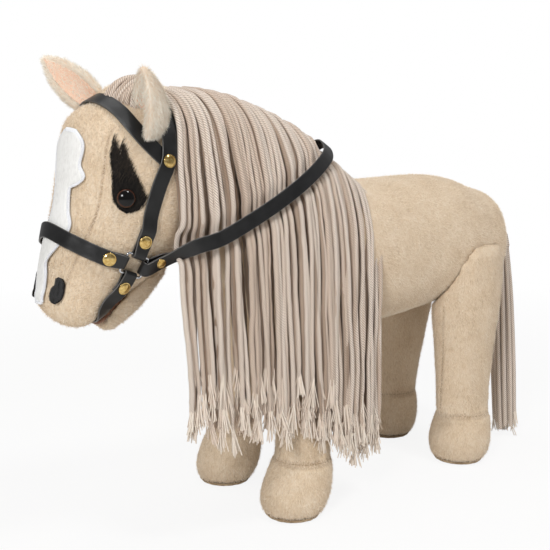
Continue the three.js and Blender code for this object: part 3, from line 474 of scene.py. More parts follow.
def normals_of(piece):
    return read_points(piece, "normal")


def move_to(piece, places):
    piece.data.vertices.foreach_set("co", np.asarray(places, float).ravel())
    piece.data.update()


cloth_frames = 20
cloth_shrink = 0.0008
cloth_settings = {
    "quality": 4,
    "use_pressure": True,
    "uniform_pressure_force": 4.0,
    "mass": 0.15,
    "tension_stiffness": 20,
    "bending_stiffness": 0.3,
}


def inflate(piece, cap):
    """Blows the skin up like a stuffed cloth bag, with no point moving further than cap."""
    before = places_of(piece)
    move_to(piece, before - normals_of(piece) * cloth_shrink)
    cloth = piece.modifiers.new("cloth", "CLOTH")
    set_all(cloth.settings, cloth_settings)
    cloth.settings.effector_weights.gravity = 0
    cloth.point_cache.frame_start = 1
    cloth.point_cache.frame_end = cloth_frames
    scene = bpy.context.scene
    for number in range(1, cloth_frames + 1):
        scene.frame_set(number)
    keep_result(piece)
    scene.frame_set(1)
    moved = places_of(piece) - before
    length = np.linalg.norm(moved, axis=1, keepdims=True)
    share = np.minimum(1, cap / np.maximum(length, 1e-9))
    move_to(piece, before + moved * share)


lump_texture = bpy.data.textures.new("stuffing_lumps", "CLOUDS")
set_all(lump_texture, {"noise_scale": 0.028, "noise_depth": 1})
tuft_texture = bpy.data.textures.new("pile_tufts", "CLOUDS")
set_all(tuft_texture, {"noise_scale": 0.0035, "noise_depth": 2})


def stuffed(piece, voxel=0.004, cap=0.0012, levels=1, lump=0.0014, tuft=0.0007, smooth=4, sim=True):
    """Makes a closed rough shape the skin of a stuffed piece of plush."""
    bake(
        piece,
        ("REMESH", {"mode": "VOXEL", "voxel_size": voxel, "use_smooth_shade": True}),
        ("SMOOTH", {"factor": 0.5, "iterations": smooth}),
    )
    if sim:
        inflate(piece, cap)
    bake(
        piece,
        ("SUBSURF", {"levels": levels, "render_levels": levels}),
        ("DISPLACE", {"texture": lump_texture, "texture_coords": "LOCAL", "strength": lump}),
        ("DISPLACE", {"texture": tuft_texture, "texture_coords": "LOCAL", "strength": tuft}),
    )
    piece.data.shade_smooth()


def attach(piece, body):
    """Gives a piece the body that it moves with."""
    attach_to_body(piece, body)


def dress(piece, material, slot, body, *nodes):
    """Gives a piece its material, and puts it in the place of its CAD nodes."""
    piece.data.materials.clear()
    piece.data.materials.append(material)
    attach(piece, body)
    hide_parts(*nodes)


plush = pile_material("plush_pile", pile_colour, pile_dark, pile_light)

torso_chest = -98
torso_length = 250
torso_height = 203
torso_form = SoftForm(
    start=(torso_chest, 0, torso_height),
    end=(torso_chest + torso_length, 0, torso_height),
    wide=57,
    up=68,
    down=66,
    shares=[
        [0, 0.82, 0.74, 0.78],
        [0.2, 0.95, 0.92, 0.97],
        [0.4, 1, 0.93, 1],
        [0.6, 1, 0.97, 0.93],
        [0.8, 1, 0.97, 0.82],
        [1, 0.86, 0.78, 0.74],
    ],
    rounds=(30, 40),
    fullness=2.2,
)
torso = form_object("torso_skin", torso_form)
stuffed(torso)
dress(torso, plush, "plush_pile", "horse", "torso")

# Neck
# A stuffed tube of the same plush between the head and the chest, sewn into both. The
# mane hides most of it.
neck = copy_of("neck", "neck_skin")
stuffed(neck)
dress(neck, plush, "plush_pile", "horse", "neck")

# Head
# Two plush side panels and a long face panel, sewn together and stuffed hard. The seam
# of the left side panel runs from the browband down past the eye to the lip.
muzzle_start = np.array((-269.0, 0.0, 183.0))
head_slope = 57.5
head_length = 137
head_form = SoftForm(
    start=muzzle_start,
    end=muzzle_start + head_length * np.array(
        (math.cos(math.radians(head_slope)), 0, math.sin(math.radians(head_slope))),
    ),
    wide=46,
    up=67,
    down=46,
    shares=[
        [0, 0.62, 0.38, 0.34],
        [0.25, 0.76, 0.57, 0.7],
        [0.45, 0.91, 0.71, 0.98],
        [0.62, 0.98, 0.85, 1.04],
        [0.82, 1, 1, 1],
        [1, 0.93, 0.85, 0.92],
    ],
    rounds=(15, 38),
    lower=2.7,
)
side_signs = {"left": -1, "right": 1}


def on_head(along, degrees, side=-1, height=0.0):
    """Places and outward directions on the head, with degrees counted from either side."""
    distance = np.asarray(along, float) * head_length
    turned = np.asarray(degrees, float) if side < 0 else 180 - np.asarray(degrees, float)
    outward = head_form.normal(distance, turned)
    lift = np.asarray(height, float)[..., None] * outward
    return head_form.surface(distance, turned) + lift, outward


def even_points(points, spacing):
    """The same line with points evenly spaced along it."""
    points = np.asarray(points, float)
    reach = np.concatenate([[0], np.cumsum(np.linalg.norm(np.diff(points, axis=0), axis=1))])
    count = max(int(reach[-1] / spacing) + 1, 2)
    at = np.linspace(0, reach[-1], count)
    return np.stack([np.interp(at, reach, column) for column in points.T], axis=1)


seam_ridge_place = 2.4
seam_ridge_share = 0.2


def press_seam(piece, line, depth, width, tint):
    """Presses a sewn line into the skin, in metres, and marks it for the painted shade colour of its
    groove.
    """
    tree = KDTree(len(line))
    for index, place in enumerate(to_frame(line)):
        tree.insert(place, index)
    tree.balance()
    places = places_of(piece)
    normals = normals_of(piece)
    stored = piece.data.attributes.get("seam")
    if stored is None:
        stored = piece.data.attributes.new("seam", "FLOAT", "POINT")
    marks = np.empty(len(places))
    stored.data.foreach_get("value", marks)
    away = np.array([tree.find(place)[2] for place in places])
    share = np.exp(-((away / width) ** 2))
    ridge = np.exp(-(((away - seam_ridge_place * width) / width) ** 2))
    move_to(piece, places - normals * (depth * (share - seam_ridge_share * ridge))[:, None])
    stored.data.foreach_set("value", np.maximum(marks, tint * share))


face_seam = [
    [0.86, 47], [0.75, 46], [0.62, 44], [0.5, 41], [0.38, 40], [0.25, 42], [0.12, 45], [0.02, 48],
]
seam_depth = 0.0010
seam_width = 0.0009
seam_steps = 120
seam_spacing = 0.6
face_seam_table = smooth_table(face_seam[::-1])

head = form_object("head_skin", head_form, sides=72, rings=44)
stuffed(head, voxel=0.0032, cap=0.0006, levels=2, lump=0.0008)
for head_side in side_signs.values():
    seam_shares = np.linspace(face_seam[-1][0], face_seam[0][0], seam_steps)
    seam_line, _ = on_head(seam_shares, face_seam_table(seam_shares)[0], head_side)
    # tint sets how strongly painted shade darkens the face seams.
    press_seam(head, even_points(seam_line, seam_spacing), seam_depth, seam_width, tint=0.9)
dress(head, plush, "plush_pile", "horse", "head")

# Lower jaw and mouth
# A small stuffed pocket sewn under the muzzle, with a brown cloth lining that shows in
# the corner of the mouth.
jaw = copy_of("lower_jaw", "lower_jaw_skin")
stuffed(jaw, voxel=0.003, cap=0.0006, lump=0.0006)
dress(jaw, plush, "plush_pile", "horse", "lower_jaw")


woven_threads = 1500
woven_relief = 0.0003


def woven_material(name, base, dark):
    """Plain woven or knitted cloth: crossing threads over soft patches, with painted shade where the
    threads dip.
    """
    nodes, place = new_material(name)
    split = nodes.add("ShaderNodeSeparateXYZ", {0: place})
    waves = []
    for axis in range(3):
        phase = nodes.math("MULTIPLY", split.outputs[axis], woven_threads)
        waves.append(nodes.math("SINE", phase))
    weave = nodes.math("MULTIPLY", nodes.math("ADD", waves[0], waves[1]), waves[2])
    height = nodes.math("MULTIPLY_ADD", weave, 0.25, 0.5)
    # The low parts of the weave are painted darker as shade between the threads, over random patches.
    shade = nodes.weighted((height, 0.4), (nodes.noise(place, 90, 4), 0.6))
    return nodes.surface({
        "Base Color": nodes.ramp(shade, [(0.35, dark), (0.6, base)]),
        "Roughness": 0.85,
        "Sheen Weight": 0.2,
        "Sheen Roughness": 0.5,
        "Normal": nodes.bump(height, 0.7, woven_relief),
    })


mouth_cloth = woven_material("mouth_cloth", linear(142, 98, 74), linear(92, 60, 44))
mouth = copy_of("mouth_lining", "mouth_lining_cloth")
stuffed(mouth, voxel=0.0018, lump=0.0003, tuft=0.0003, sim=False)
mouth_shift = (0.003, 0, 0.002)
mouth_shares = (0.8, 0.95, 0.8)
mouth_middle = places_of(mouth).mean(axis=0) + mouth_shift
move_to(mouth, mouth_middle + (places_of(mouth) - mouth_middle) * mouth_shares)
dress(mouth, mouth_cloth, "mouth_cloth", "horse", "mouth_lining")

# Legs and hooves
# Each leg is a stuffed plush tube sewn to the body. A seam runs down its front, another
# goes round it where the hoof starts, and the hoof bulges out a little below.
leg_names = [f"{place}_{side}" for place in ("front", "hind") for side in side_signs]
sole_cloth = woven_material("sole_cloth", linear(206, 182, 148), linear(160, 134, 102))


leg_seam_low = 48
leg_seam_high = 150
leg_seam_step = 1.0
leg_seam_depth = 0.0006
# How strongly painted shade darkens the leg seams.
leg_seam_shade = 0.3
hoof_height = 46
hoof_ring_band = 2.5
hoof_ring_spacing = 1.5
ray_room = 0.05


def ring_line(piece, height):
    """Points round a skin at a height, in millimetres of the drawing."""
    places = from_frame(places_of(piece))
    near = places[np.abs(places[:, 2] - height) < hoof_ring_band]
    middle = near.mean(axis=0)
    angles = np.arctan2(near[:, 1] - middle[1], near[:, 0] - middle[0])
    return near[np.argsort(angles)]


def skin_hits(piece, starts, directions):
    """Where rays, given in metres, meet a skin, in millimetres, and its normals there."""
    tree = BVHTree.FromObject(piece, bpy.context.evaluated_depsgraph_get())
    hits = [tree.ray_cast(Vector(a), Vector(b)) for a, b in zip(starts, directions)]
    hits = [hit for hit in hits if hit[0]]
    return from_frame([hit[0] for hit in hits]), np.array([hit[1] for hit in hits])


def front_hits(piece, heights):
    """Places down the front of a standing skin, in millimetres, and its normals there."""
    lowest, highest = places_of(piece).min(axis=0), places_of(piece).max(axis=0)
    across = (lowest[1] + highest[1]) / 2
    starts = [(lowest[0] - ray_room, across, height * millimetre) for height in heights]
    return skin_hits(piece, starts, [(1, 0, 0)] * len(starts))


def joined_copy(name, *nodes):
    """One mesh from copies of several nodes that are sewn together."""
    whole = bmesh.new()
    for node in nodes:
        part = copy_of(node, name)
        whole.from_mesh(part.data)
        bpy.data.objects.remove(part)
    mesh = bpy.data.meshes.new(name)
    whole.to_mesh(mesh)
    whole.free()
    return linked(name, mesh)


for leg_name in leg_names:
    leg = joined_copy(f"leg_{leg_name}_skin", f"leg_{leg_name}", f"hoof_{leg_name}")
    stuffed(leg, voxel=0.0034, cap=0.001, levels=2 if "left" in leg_name else 1, smooth=6)
    bpy.context.view_layer.update()
    front_seam, _ = front_hits(leg, np.arange(leg_seam_low, leg_seam_high, leg_seam_step))
    press_seam(leg, front_seam, leg_seam_depth, seam_width, leg_seam_shade)
    hoof_seam = even_points(ring_line(leg, hoof_height), hoof_ring_spacing)
    press_seam(leg, hoof_seam, leg_seam_depth, seam_width, leg_seam_shade)
    dress(leg, plush, "plush_pile", "horse", f"leg_{leg_name}", f"hoof_{leg_name}")
    sole = copy_of(f"sole_{leg_name}", f"sole_{leg_name}_cloth")
    stuffed(sole, voxel=0.0012, lump=0.0002, tuft=0.0002, sim=False)
    flat = places_of(sole)
    flat[:, 2] = np.maximum(flat[:, 2], 0)
    move_to(sole, flat)
    dress(sole, sole_cloth, "sole_cloth", "horse", f"sole_{leg_name}")

# Seams of the legs and stitched rings of the hooves
# Thread stitches, whipped over the front seam of each leg and set in a dashed ring
# where the hoof starts. Each is one small twist of polyester thread.
def new_tree(name, **inputs):
    """An empty geometry tree with named inputs, and the helper that fills it."""
    tree = bpy.data.node_groups.new(name, "GeometryNodeTree")
    for label, kind in {"Geometry": "Geometry", **inputs, "Material": "Material"}.items():
        tree.interface.new_socket(label, in_out="INPUT", socket_type=f"NodeSocket{kind}")
    tree.interface.new_socket("Geometry", in_out="OUTPUT", socket_type="NodeSocketGeometry")
    nodes = Nodes(tree)
    given = nodes.add("NodeGroupInput").outputs
    return tree, nodes, given


def finish_tree(nodes, given, geometry):
    """Every tree ends in plain geometry with its material set."""
    plain = nodes.add("GeometryNodeRealizeInstances", {"Geometry": geometry})
    painted = nodes.add(
        "GeometryNodeSetMaterial",
        {"Geometry": plain.outputs[0], "Material": given["Material"]},
    )
    nodes.add("NodeGroupOutput", {0: painted.outputs[0]})


def named_value(nodes, name, kind="FLOAT"):
    node = nodes.add("GeometryNodeInputNamedAttribute", {"Name": name}, data_type=kind)
    return node.outputs["Attribute"]


def run_tree(piece, tree, values):
    """Runs a tree on a piece with its inputs set by identifier, and keeps the result."""
    modifier = piece.modifiers.new(tree.name, "NODES")
    modifier.node_group = tree
    for socket in tree.interface.items_tree:
        if socket.in_out == "INPUT" and socket.name in values:
            modifier[socket.identifier] = values[socket.name]
    keep_result(piece)
    piece.data.shade_smooth()


def set_out_tree():
    """Sets a small shape on every point, its Z axis outward and its X axis across."""
    tree, nodes, given = new_tree("set_out", Shape="Object")
    shape = nodes.add("GeometryNodeObjectInfo", {"Object": given["Shape"]})
    upright = nodes.add(
        "FunctionNodeAlignRotationToVector",
        {"Vector": named_value(nodes, "outward", "FLOAT_VECTOR")},
        axis="Z",
    )
    turned = nodes.add(
        "FunctionNodeAlignRotationToVector",
        {"Rotation": upright.outputs[0], "Vector": named_value(nodes, "across", "FLOAT_VECTOR")},
        axis="X",
        pivot_axis="Z",
    )
    placed = nodes.add(
        "GeometryNodeInstanceOnPoints",
        {
            "Points": given["Geometry"],
            "Instance": shape.outputs["Geometry"],
            "Rotation": turned.outputs[0],
        },
    )
    finish_tree(nodes, given, placed.outputs[0])
    return tree


set_out = set_out_tree()


def hidden_shape(name, places, faces):
    """A small shape, in metres, that trees copy. It isn't part of the scene itself."""
    mesh = bpy.data.meshes.new(name)
    mesh.from_pydata(places, [], faces)
    mesh.shade_smooth()
    return bpy.data.objects.new(name, mesh)


stitch_sides = 6
stitch_rows = 5


def spindle(name, length, width, height):
    """A stitch: a rounded bar along X, thicker in the middle."""
    places = []
    for row in range(stitch_rows):
        turn = math.pi * (row + 0.5) / stitch_rows
        for side in range(stitch_sides):
            angle = 2 * math.pi * side / stitch_sides
            places.append((
                -math.cos(turn) * length / 2,
                math.sin(turn) ** 0.6 * math.cos(angle) * width / 2,
                math.sin(turn) ** 0.6 * math.sin(angle) * height / 2,
            ))
    return hidden_shape(name, places, tube_faces(stitch_rows, stitch_sides))


def store_floats(piece, name, values):
    stored = piece.data.attributes.new(name, "FLOAT", "POINT")
    stored.data.foreach_set("value", np.ascontiguousarray(values, float))


def store_vectors(piece, name, values):
    stored = piece.data.attributes.new(name, "FLOAT_VECTOR", "POINT")
    stored.data.foreach_set("vector", np.ascontiguousarray(values, float).ravel())


def set_out_on(name, places, outward, across, shape, material):
    """A piece made of one small shape at each place, given in millimetres."""
    piece = new_object(name, places)
    store_vectors(piece, "outward", outward)
    store_vectors(piece, "across", across)
    run_tree(piece, set_out, {"Shape": shape, "Material": material})
    return piece


fine_relief = 0.0001


def thread_material(name, colour, dark, roughness=0.6):
    """Thread: fine streaks in two tones with a soft shine."""
    nodes, place = new_material(name)
    streaks = nodes.noise(place, 2400, 2)
    return nodes.surface({
        "Base Color": nodes.ramp(streaks, [(0.3, dark), (0.65, colour)]),
        "Roughness": roughness,
        "Sheen Weight": 0.2,
        "Normal": nodes.bump(streaks, 0.5, fine_relief),
    })


seam_thread = thread_material("seam_thread", linear(176, 146, 108), linear(120, 92, 62))
seam_stitch = spindle("seam_stitch", length=0.0026, width=0.0005, height=0.0004)
ring_stitch = spindle("ring_stitch", length=0.0028, width=0.0005, height=0.0004)
stitch_spacing = 2.6
stitch_slant = 0.35
leg_stitch_high = 118
ring_stitch_step = 7
ring_ray_reach = 0.08
for leg_name in leg_names:
    leg = bpy.data.objects[f"leg_{leg_name}_skin"]
    places, normals = front_hits(leg, np.arange(leg_seam_low, leg_stitch_high, stitch_spacing))
    slants = [(0, 1, stitch_slant if k % 2 else -stitch_slant) for k in range(len(places))]
    seam = set_out_on(f"seam_{leg_name}", places, normals, slants, seam_stitch, seam_thread)
    attach(seam, "horse")
    centre = (places_of(leg).min(axis=0) + places_of(leg).max(axis=0)) / 2
    centre[2] = hoof_height * millimetre
    angles = np.radians(np.arange(0, 360, ring_stitch_step))
    directions = np.stack([np.cos(angles), np.sin(angles), 0 * angles], axis=1)
    places, normals = skin_hits(leg, centre + directions * ring_ray_reach, -directions)
    across = normals[:, [1, 0, 2]] * (-1, 1, 0)
    ring = set_out_on(f"stitches_{leg_name}", places, normals, across, ring_stitch, seam_thread)
    attach(ring, "horse")

# Ears
# A plush back and a thin peach lining sewn edge to edge, cupped and stuffed a little at
# the root. Their pile is longer than the body's and hangs in wisps.
ear_cloth = pile_material(
    "ear_cloth",
    linear(240, 203, 176),
    linear(222, 172, 140),
    linear(248, 222, 202),
    streak=0.0003,
    sheen=0.6,
)
ear_pile = pile_material(
    "ear_pile", linear(248, 230, 208), linear(232, 208, 182), linear(254, 244, 230), sheen=0.6,
)


pile_seed = 1
pile_length_shares = {2: 0.6, 3: 1.15}


def pile_rotation(nodes, given, normal):
    """Turns a blade to its comb, lifted off the cloth and a little out of line."""
    any_way = {0: (-1, -1, -1), 1: (1, 1, 1), "Seed": pile_seed}
    mess = nodes.add("FunctionNodeRandomValue", any_way, data_type="FLOAT_VECTOR").outputs[0]
    up = nodes.vector("SCALE", normal, given["Lift"])
    lean = nodes.vector("ADD", up, named_value(nodes, "comb", "FLOAT_VECTOR"))
    lean = nodes.vector("ADD", lean, nodes.vector("SCALE", mess, given["Mess"]))
    along = nodes.add("FunctionNodeAlignRotationToVector", {"Vector": lean}, axis="Z")
    turned = nodes.add(
        "FunctionNodeAlignRotationToVector",
        {"Rotation": along.outputs[0], "Vector": normal},
        axis="Y",
        pivot_axis="Z",
    )
    return turned.outputs[0]


def pile_tree():
    """Sows blades of pile over a surface, combed along its vectors named comb."""
    tree, nodes, given = new_tree(
        "pile", Blade="Object", Density="Float", Length="Float", Lift="Float", Mess="Float",
    )
    seed = {"Seed": pile_seed}
    density = nodes.math("MULTIPLY", given["Density"], named_value(nodes, "cover"))
    sown = nodes.add(
        "GeometryNodeDistributePointsOnFaces",
        {"Mesh": given["Geometry"], "Density": density, **seed},
        distribute_method="RANDOM",
    )
    length = nodes.add("FunctionNodeRandomValue", {**pile_length_shares, **seed}, data_type="FLOAT")
    blade = nodes.add("GeometryNodeObjectInfo", {"Object": given["Blade"]})
    placed = nodes.add(
        "GeometryNodeInstanceOnPoints",
        {
            "Points": sown.outputs["Points"],
            "Instance": blade.outputs["Geometry"],
            "Rotation": pile_rotation(nodes, given, sown.outputs["Normal"]),
            "Scale": nodes.math("MULTIPLY", length.outputs[1], given["Length"]),
        },
    )
    tint = nodes.add("FunctionNodeRandomValue", seed, data_type="FLOAT")
    stored = nodes.add(
        "GeometryNodeStoreNamedAttribute",
        {"Geometry": placed.outputs[0], "Name": "tint", "Value": tint.outputs[1]},
        data_type="FLOAT",
        domain="INSTANCE",
    )
    finish_tree(nodes, given, stored.outputs[0])
    return tree


blade_bend = 0.25


def blade_shape(name, width, steps):
    """A blade of pile of length 1 along Z, bent back towards -Y, and marked along it."""
    places, faces, marks = [], [], []
    for step in range(steps):
        share = step / steps
        half = width / 2 * (1 - 0.5 * share)
        back = -blade_bend * share ** 2
        places += [(-half, back, share), (half, back, share)]
        marks += [share, share]
    places.append((0, -blade_bend, 1))
    marks.append(1)
    for step in range(steps - 1):
        low = 2 * step
        faces.append((low, low + 1, low + 3, low + 2))
    faces.append((2 * steps - 2, 2 * steps - 1, 2 * steps))
    shape = hidden_shape(name, places, faces)
    stored = shape.data.attributes.new("rise", "FLOAT", "POINT")
    stored.data.foreach_set("value", marks)
    return shape


pile = pile_tree()
long_blade = blade_shape("long_blade", width=0.1, steps=3)
short_blade = blade_shape("short_blade", width=0.2, steps=1)
fine_blade = blade_shape("fine_blade", width=0.07, steps=2)


def blade_material(name, root, middle, tip, sheen):
    """Pile fibres, darker at the root and lighter at the tip as painted shade and light through the
    depth of the pile, each a little different.
    """
    nodes, place = new_material(name)
    patches = nodes.noise(place, 60, 2)
    # rise runs from root to tip, so the ramp paints shade at the root and light at the tip.
    mixed = nodes.weighted((nodes.stored("rise"), 0.45), (nodes.stored("tint"), 0.25), (patches, 0.4))
    return nodes.surface({
        "Base Color": nodes.ramp(mixed, [(0.2, root), (0.5, middle), (0.85, tip)]),
        "Roughness": 0.75,
        "Sheen Weight": sheen,
        "Sheen Tint": tip,
        "Specular IOR Level": 0.15,
    })


def sow_pile(host, name, comb, cover, blade, material, density, length, lift, mess):
    """A piece of combed pile on a host skin. comb and cover are one per point or one for all."""
    piece = linked(name, host.data.copy())
    count = len(piece.data.vertices)
    store_vectors(piece, "comb", np.broadcast_to(np.asarray(comb, float), (count, 3)))
    store_floats(piece, "cover", np.broadcast_to(np.asarray(cover, float), (count,)))
    values = {
        "Blade": blade,
        "Density": density,
        "Length": length,
        "Lift": lift,
        "Mess": mess,
        "Material": material,
    }
    run_tree(piece, pile, values)
    return piece


ear_wisp = blade_material(
    "ear_wisp", linear(250, 226, 202), linear(255, 242, 224), linear(255, 252, 242), sheen=0.8,
)
lining_wisp = blade_material(
    "lining_wisp", linear(246, 206, 180), linear(252, 222, 202), linear(255, 238, 224), sheen=0.5,
)
ear_tips = {"left": (0.1, 0.0, 1.0), "right": (-0.55, 0.51, 0.66)}
ear_density = 4.4e6
ear_wisp_length = 0.0034
ear_swell = {"left": 0.0010, "right": 0.0004}
for ear_side, tip in ear_tips.items():
    ear = copy_of(f"ear_{ear_side}", f"ear_{ear_side}_plush")
    stuffed(ear, voxel=0.0013, lump=0.0005, tuft=0.0004, smooth=3, sim=False)
    move_to(ear, places_of(ear) + ear_swell[ear_side] * normals_of(ear))
    dress(ear, ear_pile, "plush_pile", f"ear_{ear_side}", f"ear_{ear_side}")
    lining = copy_of(f"ear_lining_{ear_side}", f"ear_lining_{ear_side}_cloth")
    stuffed(lining, voxel=0.0009, lump=0.0002, tuft=0.0002, smooth=3, sim=False)
    dress(lining, ear_cloth, "ear_cloth", f"ear_{ear_side}", f"ear_lining_{ear_side}")
    comb = 0.7 * np.array(tip) * (-1 if ear_side == "left" else 1)
    coats = (
        (ear, "wisps", ear_wisp, ear_density, ear_wisp_length, "plush_pile"),
        (lining, "down", lining_wisp, 0.6 * ear_density, 0.3 * ear_wisp_length, "ear_cloth"),
    )
    for host, label, wisp, density, length, slot in coats:
        coat_name = f"ear_{ear_side}_{label}"
        coat = sow_pile(
            host, coat_name, comb, 1.0, long_blade, wisp, density, length, lift=0.8, mess=0.35,
        )
        attach(coat, f"ear_{ear_side}")

# Eyes
# Safety eyes: a moulded black plastic dome with a thin brown rim and a ribbed stem,
# pushed through the cloth and held inside by a white snap washer.
eye_share = 0.571
eye_degrees = 22.8
eye_radius = 6.6
eye_dome = 4.2
eye_stem_radius = 1.8
eye_stem_length = 11
panel_lift = 0.6
patch_thickness = 1.0
seam_gap = 0.3
eye_rows = 14


def turned(name, profile, place, outward, sides=48, marks=None):
    """A round piece from its profile of radius and height, standing on a place."""
    profile = np.array(profile, float)
    outward = np.array(outward, float)
    first = np.cross(outward, (0.0, 0.0, 1.0))
    first /= np.linalg.norm(first)
    second = np.cross(outward, first)
    angles = np.arange(sides) * 2 * math.pi / sides
    spokes = np.outer(np.cos(angles), first) + np.outer(np.sin(angles), second)
    rings = [np.array(place) + outward * height + spokes * radius for radius, height in profile]
    piece = new_object(name, np.concatenate(rings), tube_faces(len(profile), sides))
    if marks is not None:
        store_floats(piece, "rim", np.repeat(marks, sides))
    face_outwards(piece)
    return piece


def gloss_eye_material():
    """Moulded gloss plastic: black in the middle, a thin brown ring near the rim."""
    nodes, place = new_material("eye_gloss")
    stops = [
        (0.78, linear(4, 3, 3)),
        (0.88, linear(46, 26, 18)),
        (0.95, linear(84, 50, 34)),
        (0.99, linear(10, 8, 7)),
    ]
    edge = nodes.weighted((nodes.stored("rim"), 1), (nodes.noise(place, 700, 3), 0.08))
    return nodes.surface({
        "Base Color": nodes.ramp(edge, stops),
        "Roughness": 0.1,
        "Specular IOR Level": 0.18,
        "Coat Weight": 0.3,
    })


def plastic_material(name, colour, dark, roughness):
    """Plain moulded plastic with a faint mottle."""
    nodes, place = new_material(name)
    mottle = nodes.noise(place, 260, 3)
    return nodes.surface({
        "Base Color": nodes.ramp(mottle, [(0.3, dark), (0.7, colour)]),
        "Roughness": roughness,
        "Normal": nodes.bump(mottle, 0.2, fine_relief),
    })


eye_gloss = gloss_eye_material()
washer_plastic = plastic_material(
    "washer_plastic", linear(232, 230, 224), linear(208, 205, 198), roughness=0.45,
)
dome_base = panel_lift + patch_thickness + seam_gap
for eye_side, side in side_signs.items():
    place, outward = on_head(eye_share, eye_degrees, side)
    turns = np.radians(np.linspace(0, 88, eye_rows))
    radii = eye_radius * np.cos(turns)
    rises = dome_base + eye_dome * np.sin(turns)
    profile = [
        [0.6 * eye_stem_radius, dome_base - eye_stem_length],
        [eye_stem_radius, dome_base - 0.94 * eye_stem_length],
        [eye_stem_radius, dome_base],
        [0.94 * eye_radius, dome_base],
        *zip(radii, rises),
    ]
    marks = [1, 1, 1, 1, *(radii / eye_radius)]
    eye = turned(f"eye_{eye_side}_dome", profile, place, outward, marks=marks)
    dress(eye, eye_gloss, "eye_gloss", "horse", f"eye_{eye_side}")
    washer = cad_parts[f"eye_washer_{eye_side}"]
    washer.material_slots[0].material = washer_plastic

# Face patches
# A white fleece blaze with a satin-stitched edge, black embroidered nostrils, and round
# each eye a black patch whose pile is brushed up into a fading tuft.
white_pile = pile_material(
    "white_pile",
    linear(240, 239, 236),
    linear(224, 223, 220),
    linear(246, 246, 244),
    streak=0.0003,
    sheen=0.3,
)
white_thread = thread_material(
    "white_thread", linear(252, 252, 253), linear(222, 224, 230), roughness=0.35,
)
black_thread = thread_material("black_thread", linear(38, 38, 40), linear(14, 14, 15), roughness=0.5)
black_pile = pile_material(
    "black_pile",
    linear(26, 24, 23),
    linear(14, 13, 12),
    linear(46, 42, 38),
    streak=0.0004,
    sheen=0.25,
)
black_wisp = blade_material(
    "black_wisp", linear(16, 14, 13), linear(30, 27, 25), linear(60, 52, 44), sheen=0.2,
)
blaze_thickness = 1.4
blaze_rows = [
    [-0.05, 77, 94],
    [0.02, 78, 101],
    [0.08, 80, 107],
    [0.14, 84, 109],
    [0.22, 71, 105],
    [0.28, 63, 99],
    [0.34, 61, 94],
    [0.4, 67, 91],
    [0.5, 71, 92],
    [0.535, 64, 93],
    [0.575, 59, 95],
    [0.62, 65, 98],
    [0.69, 64, 100],
    [0.73, 66, 94],
    [0.765, 74, 86],
]
nostril_rows = [
    [-0.035, 50, 58],
    [-0.017, 45, 62.5],
    [0.008, 43, 64.5],
    [0.028, 43, 63.5],
    [0.044, 44, 60.5],
    [0.058, 44.5, 60.5],
    [0.076, 46.5, 60.5],
    [0.09, 50, 57.5],
]
patch_rows = [
    [0.515, 18, 25],
    [0.54, 13, 31],
    [0.577, 10, 33],
    [0.613, 11, 35],
    [0.657, 17, 34],
    [0.685, 22, 33],
]


patch_edge = 3
patch_end_rows = 2.5
patch_edge_share = 0.35


def patch_grid(rows, count, columns):
    """Shares along the head, degrees and widths in degrees over a panel given by rows."""
    along = np.linspace(rows[0][0], rows[-1][0], count)
    first, last = smooth_table(rows)(along)
    share = np.linspace(0, 1, columns)
    width = (last - first)[:, None]
    return along[:, None] + 0 * share, first[:, None] + width * share, width


def sewn_patch(name, rows, side, thickness, count, columns, sink=0.0):
    """A thin panel over the head from rows of share along, first and last degrees."""
    along, degrees, width = patch_grid(rows, count, columns)
    share = np.linspace(0, 1, columns)
    edge = np.clip(np.minimum(share, 1 - share) * width / patch_edge, 0, 1)
    ends = np.minimum(np.arange(count), np.arange(count)[::-1])[:, None]
    swell = (edge * np.clip((ends + 0.5) / patch_end_rows, 0, 1)) ** 0.5
    low = on_head(along, degrees, side, panel_lift - sink)[0]
    full = patch_edge_share + (1 - patch_edge_share) * swell
    high = on_head(along, degrees, side, panel_lift + thickness * full)[0]
    places = np.concatenate([high.reshape(-1, 3), low.reshape(-1, 3)])
    top = grid_faces(count, columns, closed=False)
    offset = count * columns
    faces = top + [tuple(offset + k for k in reversed(face)) for face in top]
    ring = patch_outline(count, columns)
    for a, b in zip(ring, ring[1:] + ring[:1]):
        faces.append((b, a, offset + a, offset + b))
    piece = new_object(name, places, faces)
    face_outwards(piece)
    return piece, high.reshape(-1, 3)[ring]


def patch_outline(rows, columns):
    """The numbers of the points round the edge of a grid, in order."""
    ring = list(range(columns))
    ring += [row * columns + columns - 1 for row in range(1, rows)]
    ring += [(rows - 1) * columns + column for column in range(columns - 2, -1, -1)]
    ring += [row * columns for row in range(rows - 2, 0, -1)]
    return ring


def satin_edge(name, outline, shape, material, spacing, slant):
    """Stitches set closely round an outline, across it and a little slanted."""
    loop = even_points(np.vstack([outline, outline[:1]]), spacing)[:-1]
    forward = np.roll(loop, -1, axis=0) - np.roll(loop, 1, axis=0)
    forward /= np.linalg.norm(forward, axis=1, keepdims=True)
    outward = np.array([head_outward(place) for place in loop])
    across = np.cross(forward, outward) + slant * forward
    return set_out_on(name, loop, outward, across, shape, material)


def head_outward(place):
    """The outward direction from the head's axis through a place near its skin."""
    reach = np.dot(place - head_form.start, head_form.forward)
    direction = place - head_form.start - reach * head_form.forward
    return direction / np.linalg.norm(direction)


blaze_counts = (120, 30)
blaze, blaze_outline = sewn_patch("blaze_fleece", blaze_rows, -1, blaze_thickness, *blaze_counts)
dress(blaze, white_pile, "white_pile", "horse", "blaze")
satin_stitch = spindle("satin_stitch", length=0.0034, width=0.0006, height=0.0013)
blaze_edge = satin_edge(
    "blaze_stitches", blaze_outline, satin_stitch, white_thread, spacing=0.42, slant=0.2,
)
attach(blaze_edge, "horse")

nostril_stitch = spindle("nostril_stitch", length=0.0036, width=0.0006, height=0.0008)


